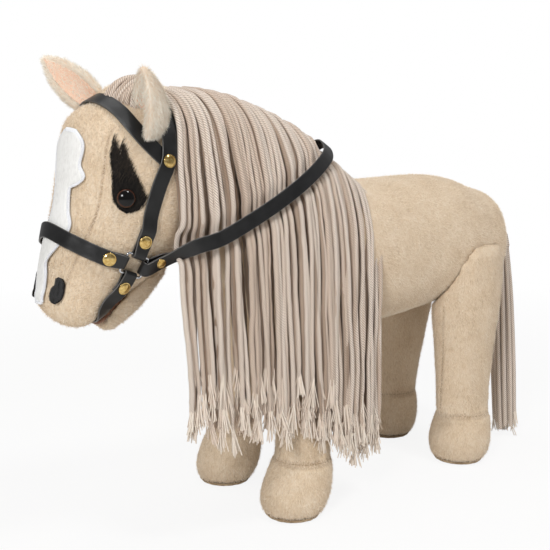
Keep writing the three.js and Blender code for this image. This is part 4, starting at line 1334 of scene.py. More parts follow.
def satin_fill(name, rows, side, height, spacing, pitch):
    """Rows of stitches that fill a panel, each row shifted by half a stitch."""
    table = smooth_table(rows)
    step = spacing / head_length
    places, outwards, acrosses = [], [], []
    for count, along in enumerate(np.arange(rows[0][0] + step, rows[-1][0], step)):
        first, last = table(along)
        ends, _ = on_head([along, along], [first, last], side)
        reach = np.linalg.norm(ends[1] - ends[0])
        number = max(int(reach / pitch), 1)
        shares = (np.arange(number) + (0.5 if count % 2 else 0.75)) / number
        shares = np.clip(shares, 0.5 / number, 1 - 0.5 / number)
        row, outward = on_head(along + 0 * shares, first + (last - first) * shares, side, height)
        places.append(row)
        outwards.append(outward)
        acrosses.append(np.tile(ends[1] - ends[0], (number, 1)))
    joined = [np.concatenate(parts) for parts in (places, outwards, acrosses)]
    return set_out_on(name, *joined, nostril_stitch, black_thread)


nostril_thickness = 1.2
nostril_counts = (30, 10)
patch_counts = (40, 16)
flare_rows = [
    [0.508, 17, 26],
    [0.535, 11.5, 32.5],
    [0.577, 8.5, 35],
    [0.613, 9.5, 37],
    [0.657, 17.5, 39.5],
    [0.7, 25, 42.5],
    [0.75, 31, 44.5],
    [0.79, 34.5, 46],
    [0.83, 37, 47],
]
flare_counts = (60, 24)
flare_density = 6.0e6
flare_length = 0.0052
flare_bed_thickness = 0.4
flare_sink = 0.3
flare_eye_gap = 0.4
flare_eye_fade = 1.2
flare_side_fade = 0.16
flare_tuft_depth = 0.024
flare_tuft_shift = 0.4
flare_top = 0.79
flare_top_fade = 0.09


def flare_cover():
    """How thickly the black hair stands: full at the eye, fading in two tufts above."""
    along, degrees, _ = patch_grid(flare_rows, *flare_counts)
    across = np.linspace(0, 1, flare_counts[1])
    inside = np.clip(np.minimum(across, 1 - across) / flare_side_fade, 0, 1)
    tufts = flare_tuft_depth * np.cos(2 * math.pi * (2 * across - flare_tuft_shift))
    fade = np.clip((flare_top + tufts - along) / flare_top_fade, 0, 1) ** 1.4
    places, _ = on_head(along, degrees)
    eye_place, _ = on_head(eye_share, eye_degrees)
    from_eye = np.linalg.norm(places - eye_place, axis=-1)
    beside_eye = np.clip((from_eye - eye_radius - flare_eye_gap) / flare_eye_fade, 0, 1)
    return np.tile((inside * fade * beside_eye).ravel(), 2)


for face_side, side in side_signs.items():
    nostril, _ = sewn_patch(
        f"nostril_{face_side}_cloth", nostril_rows, side, nostril_thickness, *nostril_counts,
    )
    dress(nostril, black_pile, "black_embroidery", "horse", f"nostril_{face_side}")
    satin = satin_fill(
        f"nostril_{face_side}_stitches",
        nostril_rows,
        side,
        height=panel_lift + nostril_thickness,
        spacing=0.55,
        pitch=2.8,
    )
    attach(satin, "horse")
    patch, _ = sewn_patch(
        f"eye_patch_{face_side}_cloth", patch_rows, side, patch_thickness, *patch_counts,
    )
    dress(patch, black_pile, "black_embroidery", "horse", f"eye_patch_{face_side}")
    bed, _ = sewn_patch(
        f"flare_bed_{face_side}", flare_rows, side, flare_bed_thickness, *flare_counts, flare_sink,
    )
    flare = sow_pile(
        bed,
        f"eye_flare_{face_side}",
        1.3 * head_form.forward,
        flare_cover(),
        fine_blade,
        black_wisp,
        flare_density,
        flare_length,
        lift=0.4,
        mess=0.4,
    )
    attach(flare, "horse")
    bpy.data.objects.remove(bed)

# Bridle
# Straps of black coated leather, cut and folded round a chromed wire ring on each cheek,
# with a round brass rivet through each fold and each crossing.
strap_width = 11.2
strap_thickness = 1.4
layer_step = strap_thickness + seam_gap
low_layer = 2 * seam_gap + strap_thickness / 2
ring_width = 17.5
ring_height = 15.0
ring_wire = 0.9
ring_corner = 2.0
ring_share = 0.315
ring_degrees = -8
fold_radius = ring_wire + 1.5 * seam_gap + strap_thickness / 2
ring_lift = low_layer + fold_radius
tip_width_share = 0.84
fold_turns = (-90, -60, -30, 0, 30, 60, 90)
stretch_steps = 8
cheek_track = [
    [0.437, -3.5, 1],
    [0.49, -2, 1],
    [0.56, 0, 0],
    [0.71, 5, 0],
    [0.84, 7.5, 1],
    [0.93, 13, 1],
    [1.02, 20, 0],
    [1.11, 34, 0],
    [1.18, 56, 0],
    [1.2, 90, 0],
]
nose_track = [
    [0.278, 12.5, 1],
    [0.272, 23, 1],
    [0.268, 36, 0.3],
    [0.272, 56, 1.25],
    [0.288, 90, 1.25],
]
chin_track = [
    [0.193, -17, 1],
    [0.15, -17.5, 1],
    [0.095, -19, 0],
    [0.055, -23, 0],
    [0.028, -38, 0],
    [0.018, -62, 0],
    [0.015, -90, 0],
]
brow_track = [
    [0.838, 2],
    [0.842, 10],
    [0.87, 25],
    [0.91, 39],
    [0.948, 53],
    [0.976, 72],
    [0.986, 90],
]


least_gap = 0.01


def centripetal(points):
    """A smooth line through chosen points that doesn't loop where they lie close."""
    points = np.asarray(points, float)
    padded = np.vstack([2 * points[0] - points[1], points, 2 * points[-1] - points[-2]])
    line = []
    for before, first, last, after in zip(padded, padded[1:], padded[2:], padded[3:]):
        pairs = ((before, first), (first, last), (last, after))
        back, span, ahead = (max(np.linalg.norm(b - a) ** 0.5, least_gap) for a, b in pairs)
        leave = (first - before) / back - (last - before) / (back + span) + (last - first) / span
        enter = (last - first) / span - (after - first) / (span + ahead) + (after - last) / ahead
        leave, enter = leave * span, enter * span
        cubic = 2 * first - 2 * last + leave + enter
        square = 3 * (last - first) - 2 * leave - enter
        for part in np.arange(stretch_steps) / stretch_steps:
            line.append(first + part * (leave + part * (square + part * cubic)))
    line.append(points[-1])
    return np.array(line)


def unit(vector):
    """The same direction, or directions, with a length of one."""
    vector = np.asarray(vector, float)
    return vector / np.linalg.norm(vector, axis=-1, keepdims=True)


def station(row, side, layer, turn=1):
    """A place on a strap's middle, its outward direction and its share of the width."""
    place, outward = on_head(row[0], row[1], side, low_layer + layer * layer_step)
    return place, turn * outward, 1.0


def ring_frame(side):
    """A ring's middle and its own directions: up the cheek, forward and outward."""
    place, outward = on_head(ring_share, ring_degrees, side, ring_lift)
    above, _ = on_head(cheek_track[0][0], cheek_track[0][1], side, ring_lift)
    up = above - place
    up = unit(up - np.dot(up, outward) * outward)
    forward = side * unit(np.cross(up, outward))
    return {"place": place, "outward": outward, "up": up, "forward": forward}


rings = {side: ring_frame(side) for side in side_signs.values()}


def folded_tip(track, side, bar, away, radius):
    """The tip of a strap: back under itself, then round a bar of the ring."""
    lift = 2 * (radius - fold_radius) / layer_step
    tip = [station(track[1], side, lift, -1), station(track[0], side, lift, -1)]
    for degrees in fold_turns:
        turn = math.radians(degrees)
        direction = -math.cos(turn) * away + math.sin(turn) * rings[side]["outward"]
        tip.append((bar + radius * direction, direction, tip_width_share))
    return tip


def head_strap_half(track, side, away, reach):
    """The stations of half a strap, from its tip at the ring to the head's middle."""
    bar = rings[side]["place"] + away * reach / 2
    tip = folded_tip(track, side, bar, away, fold_radius)
    return tip + [station(row, side, row[2]) for row in track]


def dress_strap(name, left, right):
    """A strap of the bridle from the stations of its two halves, which share their last."""
    strap = strap_ribbon(f"{name}_leather", left + right[-2::-1])
    dress(strap, leather, "strap_leather", "horse", name)


def strap_ribbon(name, stations):
    """A strap along stations: a flat ribbon with softly rounded edges."""
    places = centripetal([row[0] for row in stations])
    outwards = unit(centripetal([row[1] for row in stations]))
    shares = np.interp(
        np.arange(len(places)) / stretch_steps, np.arange(len(stations)), [row[2] for row in stations],
    )
    forward = unit(np.gradient(places, axis=0))
    across = unit(np.cross(forward, outwards))
    upright = np.cross(across, forward)
    outline, edge = strap_outline()
    loops = (
        places[:, None]
        + across[:, None] * (outline[:, 0] * strap_width / 2)[None, :, None] * shares[:, None, None]
        + upright[:, None] * (outline[:, 1] * strap_thickness / 2)[None, :, None]
    )
    piece = new_object(name, loops.reshape(-1, 3), tube_faces(len(places), len(outline)))
    store_floats(piece, "edge", np.tile(edge, len(places)))
    face_outwards(piece)
    return piece


def strap_outline():
    """The outline across a strap in shares of its half width and half thickness."""
    upper = [
        (-1.0, 0.0, 1.0), (-0.985, 0.6, 1.0), (-0.95, 0.9, 0.9), (-0.9, 0.97, 0.1), (-0.84, 0.9, 0.0),
        (-0.5, 1.0, 0.0), (0.0, 1.04, 0.0), (0.5, 1.0, 0.0), (0.84, 0.9, 0.0), (0.9, 0.97, 0.1),
        (0.95, 0.9, 0.9), (0.985, 0.6, 1.0), (1.0, 0.0, 1.0),
    ]
    lower = [(x, -y, mark) for x, y, mark in reversed(upper[1:-1])]
    rows = np.array(upper + lower)
    return rows[:, :2], rows[:, 2]


crease_relief = 0.0006


def leather_material():
    """Black coated leather: fine grain, soft creases, and a raw grey line at the edge."""
    nodes, place = new_material("strap_leather")
    patches = nodes.noise(place, 120, 3)
    cells = nodes.add("ShaderNodeTexVoronoi", {"Vector": place, "Scale": 1500.0}).outputs["Distance"]
    black = nodes.ramp(patches, [(0.3, linear(14, 14, 15)), (0.7, linear(26, 26, 27))])
    creases = nodes.bump(patches, 0.35, crease_relief)
    return nodes.surface({
        "Base Color": nodes.mix(nodes.stored("edge"), black, linear(84, 82, 80)),
        "Roughness": nodes.math("MULTIPLY_ADD", patches, 0.24, 0.24),
        "Normal": nodes.bump(cells, 0.25, fine_relief, creases),
    })


def metal_material(name, colour, dark, roughness, scale):
    """Plated metal with faint wear: its tone and its polish change a little."""
    nodes, place = new_material(name)
    wear = nodes.noise(place, scale, 4)
    return nodes.surface({
        "Base Color": nodes.ramp(wear, [(0.35, dark), (0.62, colour)]),
        "Metallic": 1.0,
        "Roughness": nodes.math("MULTIPLY_ADD", wear, 0.2, roughness - 0.1),
        "Normal": nodes.bump(wear, 0.15, 2 * fine_relief),
    })


leather = leather_material()
brass = metal_material(
    "rivet_brass", linear(232, 204, 138), linear(190, 154, 86), roughness=0.2, scale=520,
)
chrome = metal_material(
    "ring_steel", linear(222, 224, 228), linear(150, 152, 158), roughness=0.14, scale=300,
)

head_straps = {
    "headstall": (cheek_track, lambda ring: ring["up"], ring_height),
    "noseband": (nose_track, lambda ring: ring["forward"], ring_width),
    "chin_strap": (chin_track, lambda ring: -ring["up"], ring_height),
}
for strap_name, (track, direction_of, reach) in head_straps.items():
    halves = [head_strap_half(track, side, direction_of(rings[side]), reach) for side in (-1, 1)]
    dress_strap(strap_name, *halves)
dress_strap("browband", *([station(row, side, 0) for row in brow_track] for side in (-1, 1)))

rivet_radius = 4.7
rivet_dome = 1.7
rivet_post = 1.4
rivet_profile = [
    [0.94, 0.0],
    [1.0, 0.1],
    [1.0, 0.32],
    [0.96, 0.44],
    [0.9, 0.45],
    [0.86, 0.4],
    [0.82, 0.48],
    [0.7, 0.68],
    [0.5, 0.86],
    [0.26, 0.97],
    [0.04, 1.0],
]
two_layers = low_layer + layer_step + strap_thickness / 2


def rivet(name, share, degrees, side, top, body, node):
    """A rivet whose domed cap lies on the straps and whose post goes through them."""
    place, outward = on_head(share, degrees, side)
    cap_base = top + seam_gap
    profile = [[0.5 * rivet_post, seam_gap], [rivet_post, seam_gap], [rivet_post, cap_base]]
    profile += [[rivet_radius * out, cap_base + rivet_dome * rise] for out, rise in rivet_profile]
    piece = turned(name, profile, place, outward, sides=40)
    dress(piece, brass, "rivet_brass", body, node)


wire_sides = 16
corner_steps = 9


def ring_wire_object(name, ring):
    """A rectangular ring of round wire with rounded corners."""
    middles, radials = [], []
    for corner, (forward_sign, up_sign) in enumerate([(1, 1), (-1, 1), (-1, -1), (1, -1)]):
        for step in range(corner_steps):
            turn = math.radians(90 * corner + 90 * step / (corner_steps - 1))
            out = math.cos(turn) * ring["forward"] + math.sin(turn) * ring["up"]
            middle = ring["place"] + ring_corner * out
            middle = middle + forward_sign * (ring_width / 2 - ring_corner) * ring["forward"]
            middle = middle + up_sign * (ring_height / 2 - ring_corner) * ring["up"]
            middles.append(middle)
            radials.append(out)
    middles, radials = np.array(middles), np.array(radials)
    angles = np.arange(wire_sides) * 2 * math.pi / wire_sides
    loops = (
        middles[:, None]
        + ring_wire * np.cos(angles)[None, :, None] * radials[:, None]
        + ring_wire * np.sin(angles)[None, :, None] * ring["outward"]
    )
    last = (len(middles) - 1) * wire_sides
    faces = grid_faces(len(middles), wire_sides)
    for column in range(wire_sides):
        right = (column + 1) % wire_sides
        faces.append((last + column, last + right, right, column))
    piece = new_object(name, loops.reshape(-1, 3), faces)
    face_outwards(piece)
    return piece


rivet_rows = {
    "cheek": cheek_track[0],
    "nose": nose_track[0],
    "chin": chin_track[0],
    "brow": cheek_track[4],
}
for strap_side, side in side_signs.items():
    ring = ring_wire_object(f"ring_{strap_side}_wire", rings[side])
    dress(ring, chrome, "ring_steel", "horse", f"ring_{strap_side}")
    for label, row in rivet_rows.items():
        node = f"rivet_{label}_{strap_side}"
        rivet(f"{node}_cap", row[0], row[1], side, two_layers, "horse", node)

# Rein
# One long strap of the same leather from ring to ring, laid over the mane and round the
# far side of the neck. Each end is folded round its ring and riveted like the others.
rein_tip = [[0.407, -27, 1], [0.435, -34, 1]]
rein_mane_track = [
    [0.045, 0.442],
    [0.15, 0.416],
    [0.27, 0.37],
    [0.41, 0.303],
    [0.53, 0.228],
    [0.64, 0.143],
    [0.73, 0.065],
    [0.79, 0.005],
]
rein_neck_track = [
    [0.74, 112, 3],
    [0.65, 138, 3.5],
    [0.5, 168, 5],
    [0.34, 188, 7.5],
]
rein_lift = 1.6
rein_fold_room = 1.1
crest_front = -230
crest_top = 342
mane_run = 238
mane_drop = 200
mane_bulge = 82
mane_tuck = 16
mane_cheek_room = 15
crest_shares = [
    [0, 0.004, 1.295, 0.71, 0.105],
    [0.14, 0.004, 1.334, 0.75, 0.215],
    [0.3, 0.006, 1.34, 0.84, 0.36],
    [0.48, 0.044, 1.31, 0.93, 0.49],
    [0.66, 0.115, 1.28, 0.96, 0.625],
    [0.84, 0.218, 1.24, 0.92, 0.755],
    [1, 0.325, 1.145, 0.82, 0.875],
]
strand_shares = [
    [0, -0.1, 0, 0.2, 0.5],
    [0.005, 0.08, 0.02, 0.5, 0.7],
    [0.03, 0.3, 0.1, 1, 0.8],
    [0.1, 0.55, 0.25, 1, 0.95],
    [0.22, 0.75, 0.45, 0.6, 1],
    [0.38, 0.88, 0.7, 0.3, 1],
    [0.58, 0.95, 0.88, 0, 1],
    [0.8, 0.99, 0.96, 0, 0.9],
    [1, 1, 1, 0, 0.75],
]
crest_table = smooth_table([[row[0], row[0], *row[1:]] for row in crest_shares])
strand_table = smooth_table(strand_shares)


def mane_surface(crest, down):
    """The outer face of the mane: share along the crest, share down the strands."""
    crest, down = np.asarray(crest, float), np.asarray(down, float)
    run, fall, drop, bulge, end_run = crest_table(crest)
    sideways, drift, tuck, _ = strand_table(down)
    start = crest_front + run * mane_run
    end = crest_front + end_run * mane_run
    near_head = tuck * np.clip(1 - crest, 0, None) ** 3
    forward = start + (end - start) * drift + mane_tuck * near_head
    out = -bulge * mane_bulge * sideways - mane_cheek_room * near_head
    return np.stack([forward, out, crest_top - fall * mane_run - drop * mane_drop * down], axis=-1)


mane_step = 0.01


def mane_outward(crest, down):
    """The outward direction of the mane's face."""
    lengthwise = mane_surface(crest + mane_step, down) - mane_surface(crest - mane_step, down)
    falling = mane_surface(crest, down + mane_step) - mane_surface(crest, down - mane_step)
    return unit(np.cross(falling, lengthwise))


def rein_half_tip(side):
    """The rein's end at a ring, which lies over the bridle's own fold."""
    away = -rings[side]["forward"]
    bar = rings[side]["place"] + away * ring_width / 2
    radius = fold_radius + rein_fold_room
    tip = folded_tip(rein_tip, side, bar, away, radius)
    lift = rein_tip[0][2] + 3 * rein_fold_room / layer_step
    return tip + [station(rein_tip[0], side, lift)]


over_mane = []
for crest, down in rein_mane_track:
    outward = mane_outward(crest, down)
    over_mane.append((mane_surface(crest, down) + rein_lift * outward, outward, 1.0))
neck_form = SoftForm(
    start=(-178, 0, 290),
    end=(-62, 0, 203),
    wide=46,
    up=75,
    down=60,
    shares=[[0, 0.86, 0.66, 0.86], [0.35, 0.92, 0.78, 1], [0.7, 1, 0.93, 0.95], [1, 1.05, 1.01, 0.9]],
    rounds=(14, 14),
)
over_neck = []
for along, degrees, height in rein_neck_track:
    distance = along * neck_form.length
    outward = neck_form.normal(distance, degrees)
    over_neck.append((neck_form.surface(distance, degrees) + height * outward, outward, 1.0))
rein_stations = rein_half_tip(-1) + over_mane + over_neck + rein_half_tip(1)[::-1]
rein = strap_ribbon("rein_leather", rein_stations)
dress(rein, leather, "strap_leather", "rein", "rein")
for strap_side, side in side_signs.items():
    node = f"rivet_rein_{strap_side}"
    top = two_layers + 2 * rein_fold_room
    rivet(f"{node}_cap", rein_tip[0][0], rein_tip[0][1], side, top, "rein", node)

# Mane
# Twisted cotton cords, sewn into the crest in a dense row and hanging over the left side.
# Their cut ends are left to fray.
cord_radius = 1.85
cord_columns = 54
cord_layers = 3
first_cord = 0.012
cord_layer_step = 2.7
cord_points = 48
cord_colour = linear(232, 212, 194)
cord_light = linear(250, 236, 222)
cord_shade = linear(168, 146, 127)
# Painted shade in the grooves between the plies.
cord_groove_shade = linear(122, 96, 78)
cord_lay = 0.0104
cord_plies = 5
lock_count = 5


def yarn_material():
    """Twisted cotton cord: slanting grooves between its plies, painted darker as shade, fine fibres,
    uneven tone.
    """
    nodes, place = new_material("cotton_yarn")
    ring = nodes.add("ShaderNodeSeparateXYZ", {0: nodes.stored("ring", "Vector")})
    around = nodes.math("ARCTAN2", ring.outputs[1], ring.outputs[0])
    turns = nodes.math("MULTIPLY", nodes.stored("along"), 2 * math.pi / cord_lay)
    phase = nodes.math("MULTIPLY", nodes.math("ADD", around, turns), cord_plies)
    wave = nodes.math("MULTIPLY_ADD", nodes.math("SINE", phase), 0.5, 0.5)
    ply = nodes.math("POWER", wave, 0.7)
    fibre = nodes.noise(place, 2600, 2)
    tone = nodes.weighted((nodes.stored("tint"), 0.75), (fibre, 0.3))
    colour = nodes.ramp(tone, [(0.05, cord_shade), (0.45, cord_colour), (0.9, cord_light)])
    # Painted shade: the grooves between the plies are darkened in colour.
    groove_shade = nodes.math("MULTIPLY", nodes.math("SUBTRACT", 1, ply), 0.68)
    plies = nodes.bump(ply, 0.9, 4 * fine_relief)
    return nodes.surface({
        "Base Color": nodes.mix(groove_shade, colour, cord_groove_shade),
        "Roughness": 0.85,
        "Sheen Weight": 0.25,
        "Specular IOR Level": 0.2,
        "Normal": nodes.bump(fibre, 0.4, 2 * fine_relief, plies),
    })


def yarn_tree():
    """Turns edges into cords: thick is their radius, and along and tint are passed on."""
    tree, nodes, given = new_tree("yarn", Sides="Int")
    thick = named_value(nodes, "thick")
    line = nodes.add("GeometryNodeMeshToCurve", {"Mesh": given["Geometry"]}).outputs[0]
    line = nodes.add("GeometryNodeSetCurveRadius", {0: line, "Radius": thick}).outputs[0]
    circle = nodes.add(
        "GeometryNodeCurvePrimitiveCircle", {"Resolution": given["Sides"], "Radius": 1.0},
    )
    place = nodes.add("GeometryNodeInputPosition").outputs[0]
    profile = nodes.add(
        "GeometryNodeStoreNamedAttribute",
        {"Geometry": circle.outputs[0], "Name": "ring", "Value": place},
        data_type="FLOAT_VECTOR",
        domain="POINT",
    ).outputs[0]
    tube = nodes.add(
        "GeometryNodeCurveToMesh", {"Curve": line, "Profile Curve": profile, "Fill Caps": True},
    )
    if "Scale" in tube.inputs:
        nodes.tree.links.new(thick, tube.inputs["Scale"])
    finish_tree(nodes, given, tube.outputs[0])
    return tree


yarn = yarn_tree()
cotton_yarn = yarn_material()
cotton_fray = blade_material("cotton_fray", cord_colour, cord_light, linear(250, 240, 226), sheen=0.3)


def cords_object(name, cords, sides=8, material=cotton_yarn):
    """One piece from cords, each given by its places, radii and tint."""
    places, edges, thick, along, tint = [], [], [], [], []
    for line, radii, tone in cords:
        first = len(places)
        places.extend(line)
        edges += [(first + k, first + k + 1) for k in range(len(line) - 1)]
        thick.extend(np.broadcast_to(radii, len(line)) * millimetre)
        steps = np.linalg.norm(np.diff(line, axis=0), axis=1)
        along.extend(np.concatenate([[0], np.cumsum(steps)]) * millimetre + tone)
        tint.extend([tone] * len(line))
    piece = new_object(name, places, edges=edges)
    for label, values in (("thick", thick), ("along", along), ("tint", tint)):
        store_floats(piece, label, values)
    run_tree(piece, yarn, {"Sides": sides, "Material": material})
    return piece


chance = np.random.default_rng(7)
rein_room = 12.0
rein_press = 3.4
rein_press_front = 5.5
rein_fall_share = 1.35
rein_front_share = 0.1


def rein_pressing(crest, down):
    """How far the rein presses the cords under it inwards, in millimetres."""
    track = np.array(rein_mane_track)
    middle = np.interp(crest, track[:, 0], track[:, 1])
    away = np.abs(down - middle) * mane_drop * rein_fall_share
    press = rein_press + rein_press_front * np.clip(1 - crest / rein_front_share, 0, 1)
    return press * np.exp(-((away / rein_room) ** 4))


bunch_count = 17
bunch_fold = 4.6
bunch_gather = 0.34
lane_room = 0.004
cord_end = 0.935
cord_end_step = 0.02
cord_end_spread = 0.014
cord_drift = 0.0012
cord_wave = 0.005
cord_spread = 0.009
cord_depth = 0.4
cord_depth_change = (-0.8, 1.6)
cord_ripple = 0.8
cord_cover = 0.6
root_sink = 1.5
root_share = 0.03
cut_shares = [0, -0.05, -0.12]
cut_odds = [0.45, 0.35, 0.2]
turn_range = (0, 6.3)


def mane_cord(crest, layer):
    """One cord of the mane from its stitch in the crest down to its cut end."""
    depth = cord_depth + cord_radius + layer * cord_layer_step + chance.uniform(*cord_depth_change)
    cut = chance.choice(cut_shares, p=cut_odds)
    end = cord_end - cord_end_step * layer + cut + chance.normal(0, cord_end_spread)
    down = np.linspace(0, 1, cord_points) ** 1.2 * end
    drift = np.cumsum(chance.normal(0, cord_drift, cord_points))
    wave = cord_wave * np.sin(chance.uniform(*turn_range) + down * chance.uniform(3, 9))
    spread = chance.normal(0, cord_spread) * down
    bunch = (np.floor(crest * bunch_count) + 0.5) / bunch_count
    gather = bunch_gather * (bunch - crest) * np.clip(2.5 * down, 0, 1)
    lane = crest + gather + (drift + wave + spread) * np.clip(4 * down, 0, 1)
    lane = np.clip(lane, -lane_room, 1 + lane_room)
    outward = mane_outward(lane, down)
    part = abs(crest * bunch_count - math.floor(crest * bunch_count) - 0.5) * 2
    fold = bunch_fold * part ** 3 * np.clip(3 * down, 0, 1)
    swing = np.sin(chance.uniform(*turn_range) + down * chance.uniform(8, 20))
    ripple = cord_ripple * swing * np.clip(2 * down, 0, 1)
    inward = depth + fold + ripple + rein_pressing(lane, down)
    root = np.clip(1 - down / root_share, 0, 1)
    inward = np.maximum(inward, cord_radius - cord_cover) * (1 - 0.5 * root) + root_sink * root
    return mane_surface(lane, down) - outward * inward[:, None]


fray_count = (15, 20)
fray_reach = (17, 25)
fray_start = 5
fray_bend = 1.3
fray_lean = 0.1
fray_length_shares = (0.92, 1.03)
fray_room_share = 0.4
fray_tones = (0.5, 1.3)
fray_lightest = 2.0
fray_sway = 0.9
fray_points = 6
fray_sides = 3
fray_radii = (0.6, 0.45)


def frayed_end(line, radius, tone):
    """The loose yarns that a cut cord opens into below its last twist."""
    heading = unit(line[-1] - line[-4] + chance.normal(0, fray_sway, 3) * (1, 1, 0.2))
    reach = chance.uniform(*fray_reach)
    steps = np.linspace(0, 1, fray_points)[:, None]
    fibres = []
    for _ in range(chance.integers(*fray_count)):
        lean = unit(heading + chance.normal(0, fray_lean, 3))
        length = reach * chance.uniform(*fray_length_shares)
        bend = chance.normal(0, fray_bend, 3)
        start = line[-1] - heading * fray_start + chance.normal(0, fray_room_share, 3) * radius
        path = start + lean * length * steps + bend * steps ** 2
        path[:, 1] = np.maximum(path[:, 1], -mane_bulge)
        tone_here = min(tone + chance.uniform(*fray_tones), fray_lightest)
        fibres.append((path, np.linspace(*fray_radii, fray_points), tone_here))
    return fibres


cord_taper_shares = ([0, 0.03, 0.96, 1], [0.8, 1, 1, 0.6])
cord_radius_shares = (0.85, 1.12)
cord_tones = (0.2, 1.15)
stitch_change = (-0.2, 0.2)
locks = [([], []) for _ in range(lock_count)]
for layer in range(cord_layers):
    for column in range(cord_columns):
        place_in_row = column + 0.5 * (layer % 2) + 0.25
        crest = (place_in_row + chance.uniform(*stitch_change)) / cord_columns
        crest = first_cord + (1 - first_cord) * crest
        if crest > 1:
            continue
        # Deeper layers get lower tints: painted shade under the front cords, over a random tone.
        tone = chance.uniform(*cord_tones) * (1 - 0.5 * layer) - 0.3 * layer
        radius = cord_radius * chance.uniform(*cord_radius_shares)
        line = mane_cord(crest, layer)
        radii = radius * np.interp(np.linspace(0, 1, len(line)), *cord_taper_shares)
        lock = locks[min(int(crest * lock_count), lock_count - 1)]
        lock[0].append((line, radii, tone))
        lock[1].extend(frayed_end(line, radius, tone))

for index, (cords, fibres) in enumerate(locks, start=1):
    lock = cords_object(f"mane_{index}_cords", cords)
    frays = cords_object(f"mane_{index}_ends", fibres, fray_sides, cotton_fray)
    for piece in (lock, frays):
        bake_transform(piece)
    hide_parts(f"mane_lock_{index}")
    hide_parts(f"mane_end_{index}")

# Forelock
# Short cords of the same yarn, sewn in at the poll, lie forward between the ears and are
# held down under the browband.
forelock_count = 8
forelock_radius = 0.85 * cord_radius
forelock_tones = (0.1, 0.9)
forelock_layers = 2
forelock_points = 18
forelock_lift = 1.6
forelock_layer_lift = 1.9
forelock_dip = 1.2
forelock_start = 1.2
forelock_end = 1.0
forelock_degrees = 70
forelock_turn = 8
forelock_fan = 16
forelock = []
for layer in range(forelock_layers):
    for number in range(forelock_count):
        share = (number + 0.5 * layer + chance.uniform(*stitch_change)) / forelock_count
        steps = np.linspace(0, 1, forelock_points)
        start = forelock_start - 0.05 * share
        end = forelock_end + 0.01 * share
        along = start + (end - start) * steps
        fan = forelock_fan * share
        weave = 2 * np.sin(3 * steps + number)
        degrees = forelock_degrees - fan + (forelock_turn - fan) * steps + weave
        arch = np.sin(math.pi * (0.25 + 0.75 * steps)) ** 0.7
        height = (forelock_lift + forelock_layer_lift * layer) * arch - forelock_dip * steps ** 4
        line, _ = on_head(along, degrees, -1, height)
        forelock.append((line, forelock_radius, chance.uniform(*forelock_tones)))
forelock = cords_object("forelock_cords", forelock)
attach(forelock, "horse")

# Tail
# A hank of the same cords, bound at the top, sewn into the rump and left to hang. Its
# cords are cut at different heights near the floor.
tail_root_x = 192
tail_top_side = -18
tail_root_height = 206
tail_root_radius = 10
tail_end = (194, -31, 5)
tail_half_width = 13
tail_hair_out = 1.6
tail_outer_count = 11
tail_inner_count = 5
tail_outer_share = 0.95
tail_inner_share = 0.4
tail_cord_radius = 2.1
tail_cord_top = 4
tail_cut = (2, 20)
tail_sway = 1.4
tail_clear = 1
tail_angle_change = (-0.15, 0.15)
# The tail's cords get lighter tints than the mane's of the same yarn, painted light where the tail
# hangs in shade behind the hind leg.
tail_tones = (0.95, 1.4)
tail_radius_shares = (0.9, 1.08)
tail_shares = [[0, 0.95], [0.3, 1], [0.7, 0.9], [1, 0.6]]
tail_width = smooth_table(tail_shares)


def tail_cord(angle, share):
    """A tail cord from its root down: angle and share say where it lies in the hank."""
    down = np.linspace(0, 1, cord_points)
    top = np.array((tail_root_x + tail_hair_out, tail_top_side, tail_root_height - tail_cord_top))
    end = np.array(tail_end) + (0, 0, chance.uniform(*tail_cut))
    middle = top + (end - top) * down[:, None]
    width = tail_half_width * tail_width(1 - down)[0] - tail_cord_radius
    sway = tail_sway * np.sin(chance.uniform(*turn_range) + 5 * down) * down
    out = width * share
    middle[:, 0] += np.cos(angle) * out + sway
    middle[:, 1] += np.sin(angle) * out + 0.7 * sway
    middle[:, 0] = np.maximum(middle[:, 0], tail_root_x - tail_half_width + tail_cord_radius)
    return middle


tail_cords, tail_fibres = [], []
for number in range(tail_outer_count + tail_inner_count):
    outer = number < tail_outer_count
    share = tail_outer_share if outer else tail_inner_share
    around = number / (tail_outer_count if outer else tail_inner_count)
    angle = 2 * math.pi * around + chance.uniform(*tail_angle_change)
    tone = chance.uniform(*tail_tones)
    line = tail_cord(angle, share)
    tail_cords.append((line, tail_cord_radius * chance.uniform(*tail_radius_shares), tone))
    fibres = frayed_end(line, tail_cord_radius, tone)
    tail_fibres += [fibre for fibre in fibres if fibre[0][:, 2].min() > tail_clear]
bound = form_object(
    "tail_root_cords",
    SoftForm(
        start=(tail_root_x, tail_top_side, tail_root_height - tail_root_radius),
        end=(tail_root_x, tail_top_side, tail_root_height),
        wide=tail_root_radius,
        up=tail_root_radius,
        down=tail_root_radius,
        shares=[[0, 1, 1, 1], [1, 0.8, 0.8, 0.8]],
        rounds=(tail_root_radius / 2, tail_root_radius / 2),
    ),
    sides=36,
    rings=10,
    cap_rings=5,
)
from_root = from_frame(places_of(bound)) - (tail_root_x, tail_top_side, 0)
store_vectors(bound, "ring", from_root * (1, 1, 0) / tail_root_radius)
store_floats(bound, "along", from_root[:, 2] * millimetre)
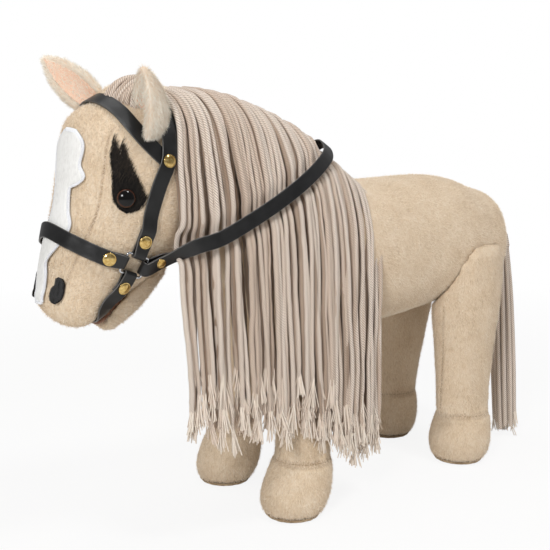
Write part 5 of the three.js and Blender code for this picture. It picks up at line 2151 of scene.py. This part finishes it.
store_floats(bound, "tint", np.full(len(from_root), 0.5))
dress(bound, cotton_yarn, "cotton_yarn", "tail_root", "tail_root")
hank = cords_object("tail_cords", tail_cords, sides=10)
hank_ends = cords_object("tail_ends", tail_fibres, fray_sides, cotton_fray)
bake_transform(hank)
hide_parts("tail_hair")
attach(hank_ends, "tail")

# Body pile
# The plush itself: short fibres that stand off every skin and lean back, kept clear of
# the straps, the blaze, the nostrils and the eyes, which press or hide them.
body_wisp = blade_material(
    "body_wisp", linear(202, 176, 146), linear(236, 217, 192), linear(252, 242, 226), sheen=0.5,
)
coat_density = 1.2e6
coat_length = 0.0023
coat_clear = 0.0012
coat_fade = 0.0025
covering = ["blaze_fleece"]
covering += [f"{strap}_leather" for strap in (*head_straps, "browband", "rein")]
covering += [f"{patch}_{side}_cloth" for patch in ("nostril", "eye_patch") for side in side_signs]
coats = {
    "torso_skin": ("torso", (0.5, 0, -0.5)),
    "neck_skin": ("neck", (0.5, 0, -0.6)),
    "head_skin": ("head", (0.45, 0, 0.35)),
    "lower_jaw_skin": ("lower_jaw", (0.6, 0, 0.1)),
}
for leg_name in leg_names:
    coats[f"leg_{leg_name}_skin"] = (f"leg_{leg_name}", (0.1, 0, -0.8))


def clear_of(host, names):
    """A share for each point of a host: 0 beside the named pieces, 1 away from them."""
    graph = bpy.context.evaluated_depsgraph_get()
    trees = [BVHTree.FromObject(bpy.data.objects[name], graph) for name in names]
    shares = []
    for place in places_of(host):
        near = [tree.find_nearest(Vector(place), coat_clear + coat_fade)[3] for tree in trees]
        away = min([distance for distance in near if distance is not None], default=1.0)
        shares.append(min(max((away - coat_clear) / coat_fade, 0), 1))
    return np.array(shares)


for host_name, (node, comb) in coats.items():
    host = bpy.data.objects[host_name]
    cover = clear_of(host, covering) if node in ("head", "lower_jaw", "neck") else 1.0
    coat = sow_pile(
        host,
        f"{node}_pile",
        comb,
        cover,
        short_blade,
        body_wisp,
        coat_density,
        coat_length,
        lift=0.7,
        mess=0.5,
    )
    attach(coat, "horse")
